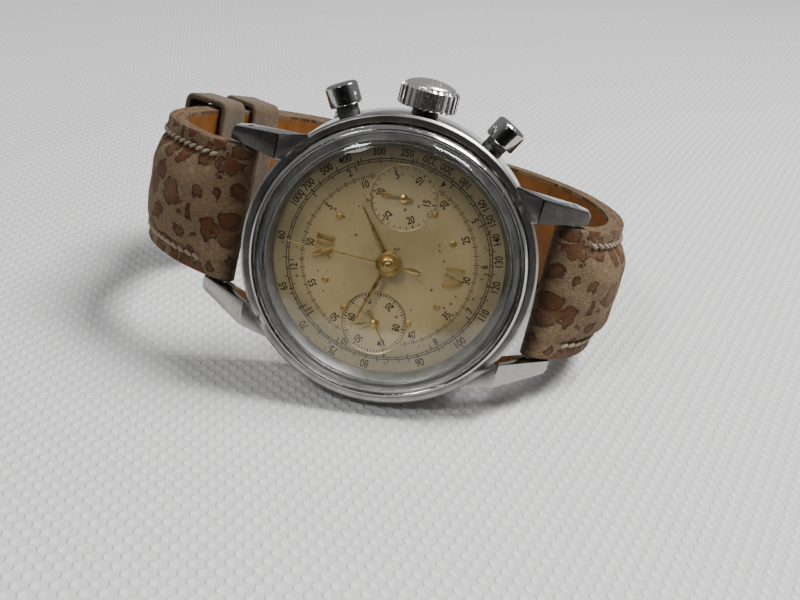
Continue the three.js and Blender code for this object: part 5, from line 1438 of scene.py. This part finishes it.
def make_buckle():
    """A rounded pin buckle: the frame, and its tongue with the eye that hangs on the bar."""
    inner = BUCKLE_END_WIDTH / 2 + STRAP_GAP
    outer = inner + BUCKLE_WIRE
    thick = BUCKLE_WIRE / 2
    slope = math.atan2(BUCKLE_LIFT, BUCKLE_REACH)
    run = Vector((math.cos(slope), math.sin(slope)))
    rise = Vector((-run.y, run.x)) * thick
    far = Vector((BUCKLE_REACH, BUCKLE_LIFT)) + run * thick
    back = -run * 1.2
    plan = [(-outer, -1.2), (-outer + 0.35, far.length - 1.2), (-outer + 1.6, far.length), (outer - 1.6, far.length),
            (outer - 0.35, far.length - 1.2), (outer, -1.2)]
    frame_piece = cut_out("buckle_bow", plan, -thick, thick)
    start = BUCKLE_REACH / run.x - thick
    boolean(frame_piece, cut_out("opening", rounded([(-inner, -6), (inner, -6), (inner, start), (-inner, start)], 0.8, 5),
                                 -3, 3))
    modify(frame_piece, "BEVEL", width=0.5, segments=4, limit_method="ANGLE", angle_limit=math.radians(40))
    smooth(frame_piece, 40)
    ahead = BUCKLE_T * run.x + BUCKLE_N * run.y
    out = -BUCKLE_T * run.y + BUCKLE_N * run.x
    axes = Matrix(((1, 0, 0), (0, ahead.x, out.x), (0, ahead.y, out.y))).to_4x4()
    apply_place(frame_piece, Matrix.Translation((0, BAR_SPOT.x, BAR_SPOT.y)) @ axes)
    settle(frame_piece, "buckle_frame", STEEL_BRIGHT, "polished_steel", "buckle_frame")
    tip = (BUCKLE_REACH + 0.9, BUCKLE_LIFT + thick + TONGUE_THICKNESS / 2 + 0.25)
    root = (0.9, 0.45)
    half = TONGUE_THICKNESS / 2
    prong = box_between([
        (root[0], root[1] - half), (tip[0] - 1.6, tip[1] - half), (tip[0], tip[1] - half),
        (tip[0], tip[1] + half * 0.4), (tip[0] - 1.8, tip[1] + half), (root[0], root[1] + half)],
        -TONGUE_WIDTH / 2, TONGUE_WIDTH / 2)
    eye = cross_rod(BUCKLE_BAR_RADIUS + 0.65, BAR_SPOT.x, BAR_SPOT.y, TONGUE_WIDTH / 2)
    boolean(prong, eye, "UNION")
    boolean(prong, cross_rod(BUCKLE_BAR_RADIUS + 0.1, BAR_SPOT.x, BAR_SPOT.y, 4))
    prong.name = "buckle_prong"
    modify(prong, "BEVEL", width=0.22, segments=3, limit_method="ANGLE", angle_limit=math.radians(40))
    smooth(prong, 40)
    settle(prong, "buckle_tongue", STEEL_BRIGHT, "polished_steel", "buckle_tongue")


KEEPER = keeper_leather()
make_keeper("loop_fixed", FIXED_KEEPER_PLACE, "watch_head", "fixed_keeper")
make_keeper("loop_free", FREE_KEEPER_PLACE, "free_keeper", "free_keeper")
make_buckle()


# ------------------------------------------------------------------ what shows of the inner pieces
SLOT_OF = {"rubber": "rubber", "brass": "brass", "bridge": "plated_brass", "cock": "plated_brass",
           "plate": "plated_brass", "gasket": "rubber"}
STEEL_NODES = ("spring_bar", "stem", "spring", "ratchet", "crown_wheel", "escape", "fork", "hair", "column", "lever",
               "hammer", "cannon")


def plain_finish(name):
    for word, slot in SLOT_OF.items():
        if word in name:
            return PLAIN[slot]
    if any(word in name for word in STEEL_NODES):
        return PLAIN["steel"]
    return PLAIN["brass"]


for name, node in nodes.items():
    if not node.hide_render:
        for place in node.material_slots:
            place.material = plain_finish(name)


# ------------------------------------------------------------------ table and lamps
def table_finish():
    """A pale coated board with rows of small raised pads, with painted shade in the gaps between the pads, and greyer
    towards its far side as painted shade.
    """
    finish = Finish("table_pale", Specular_IOR_Level=0.3)
    place = finish.point()
    drift = finish.noise(place, 60, 2) * 2.2
    across = finish.along(place, (0.97 * PAD_TURNS, 0.24 * PAD_TURNS, 0)) + drift
    away = finish.along(place, (-0.17 * PAD_TURNS, 0.68 * PAD_TURNS, 0)) + drift
    waves = finish.node("ShaderNodeMath", {"operation": "COSINE"}, {0: across})
    waves = waves * finish.node("ShaderNodeMath", {"operation": "COSINE"}, {0: away})
    pads = finish.step(waves, -0.25, 0.65)
    cloud = finish.noise(place, 9, 3)
    # painted shade: the board is greyed towards its far side, and the gaps between the pads are painted darker than the
    # pads
    far = finish.step(finish.along(place, (0, 1, 0)), -0.03, 0.28)
    pads_with_painted_shade = finish.blend(pads, (0.62, 0.62, 0.612), (0.745, 0.745, 0.735))
    ground = finish.blend(far, pads_with_painted_shade, (0.20, 0.205, 0.21))
    finish.set(Base_Color=finish.blend(cloud * 0.2, ground, (0.5, 0.5, 0.5)), Roughness=0.5)
    finish.bump(pads, 0.17, 0.9)
    return finish.material


def make_table():
    deselect()
    bpy.ops.mesh.primitive_plane_add(size=6, location=(0, 3 - TABLE_FRONT, 0))
    table = bpy.context.object
    table.name = "table"
    table.data.materials.append(table_finish())


def lamp(name, place, aim, width, height, power, colour=(1, 1, 1)):
    deselect()
    bpy.ops.object.light_add(type="AREA", location=place)
    light = bpy.context.object
    light.name = name
    light.data.shape = "RECTANGLE"
    light.data.size = width
    light.data.size_y = height
    light.data.energy = power
    light.data.color = colour
    light.rotation_euler = (Vector(aim) - Vector(place)).to_track_quat("-Z", "Y").to_euler()


def room_light():
    """A pale room that is darker on the side where the maker stands."""
    world = bpy.data.worlds.new("room")
    bpy.context.scene.world = world
    world.use_nodes = True
    tree = world.node_tree
    tree.nodes.clear()
    view = tree.nodes.new("ShaderNodeTexCoord")
    reach = tree.nodes.new("ShaderNodeVectorMath")
    reach.operation = "DOT_PRODUCT"
    reach.inputs[1].default_value = ROOM_DARK_SIDE
    ramp = tree.nodes.new("ShaderNodeValToRGB")
    ramp.color_ramp.elements[0].position = 0.0
    ramp.color_ramp.elements[0].color = (0.80, 0.81, 0.83, 1)
    ramp.color_ramp.elements[1].position = 1.0
    ramp.color_ramp.elements[1].color = (0.03, 0.028, 0.028, 1)
    middle = ramp.color_ramp.elements.new(0.42)
    middle.color = (0.62, 0.63, 0.65, 1)
    dim = ramp.color_ramp.elements.new(0.78)
    dim.color = (0.09, 0.085, 0.08, 1)
    sky = tree.nodes.new("ShaderNodeBackground")
    sky.inputs[1].default_value = 0.40
    out = tree.nodes.new("ShaderNodeOutputWorld")
    tree.links.new(view.outputs["Generated"], reach.inputs[0])
    tree.links.new(reach.outputs["Value"], ramp.inputs["Fac"])
    tree.links.new(ramp.outputs[0], sky.inputs[0])
    tree.links.new(sky.outputs[0], out.inputs[0])


ROOM_DARK_SIDE = Vector((0.05, -0.97, 0.12)).normalized()
PAD_TURNS = 2 * math.pi / 0.00185
TABLE_FRONT = 0.08
make_table()
lamp("lamp_above", (0.25, 0.03, 0.50), (0, 0, 0.02), 0.22, 0.22, 5.5)
lamp("lamp_front", (-0.26, -0.46, 0.55), (0, 0, 0.02), 0.12, 0.12, 1.9)
room_light()
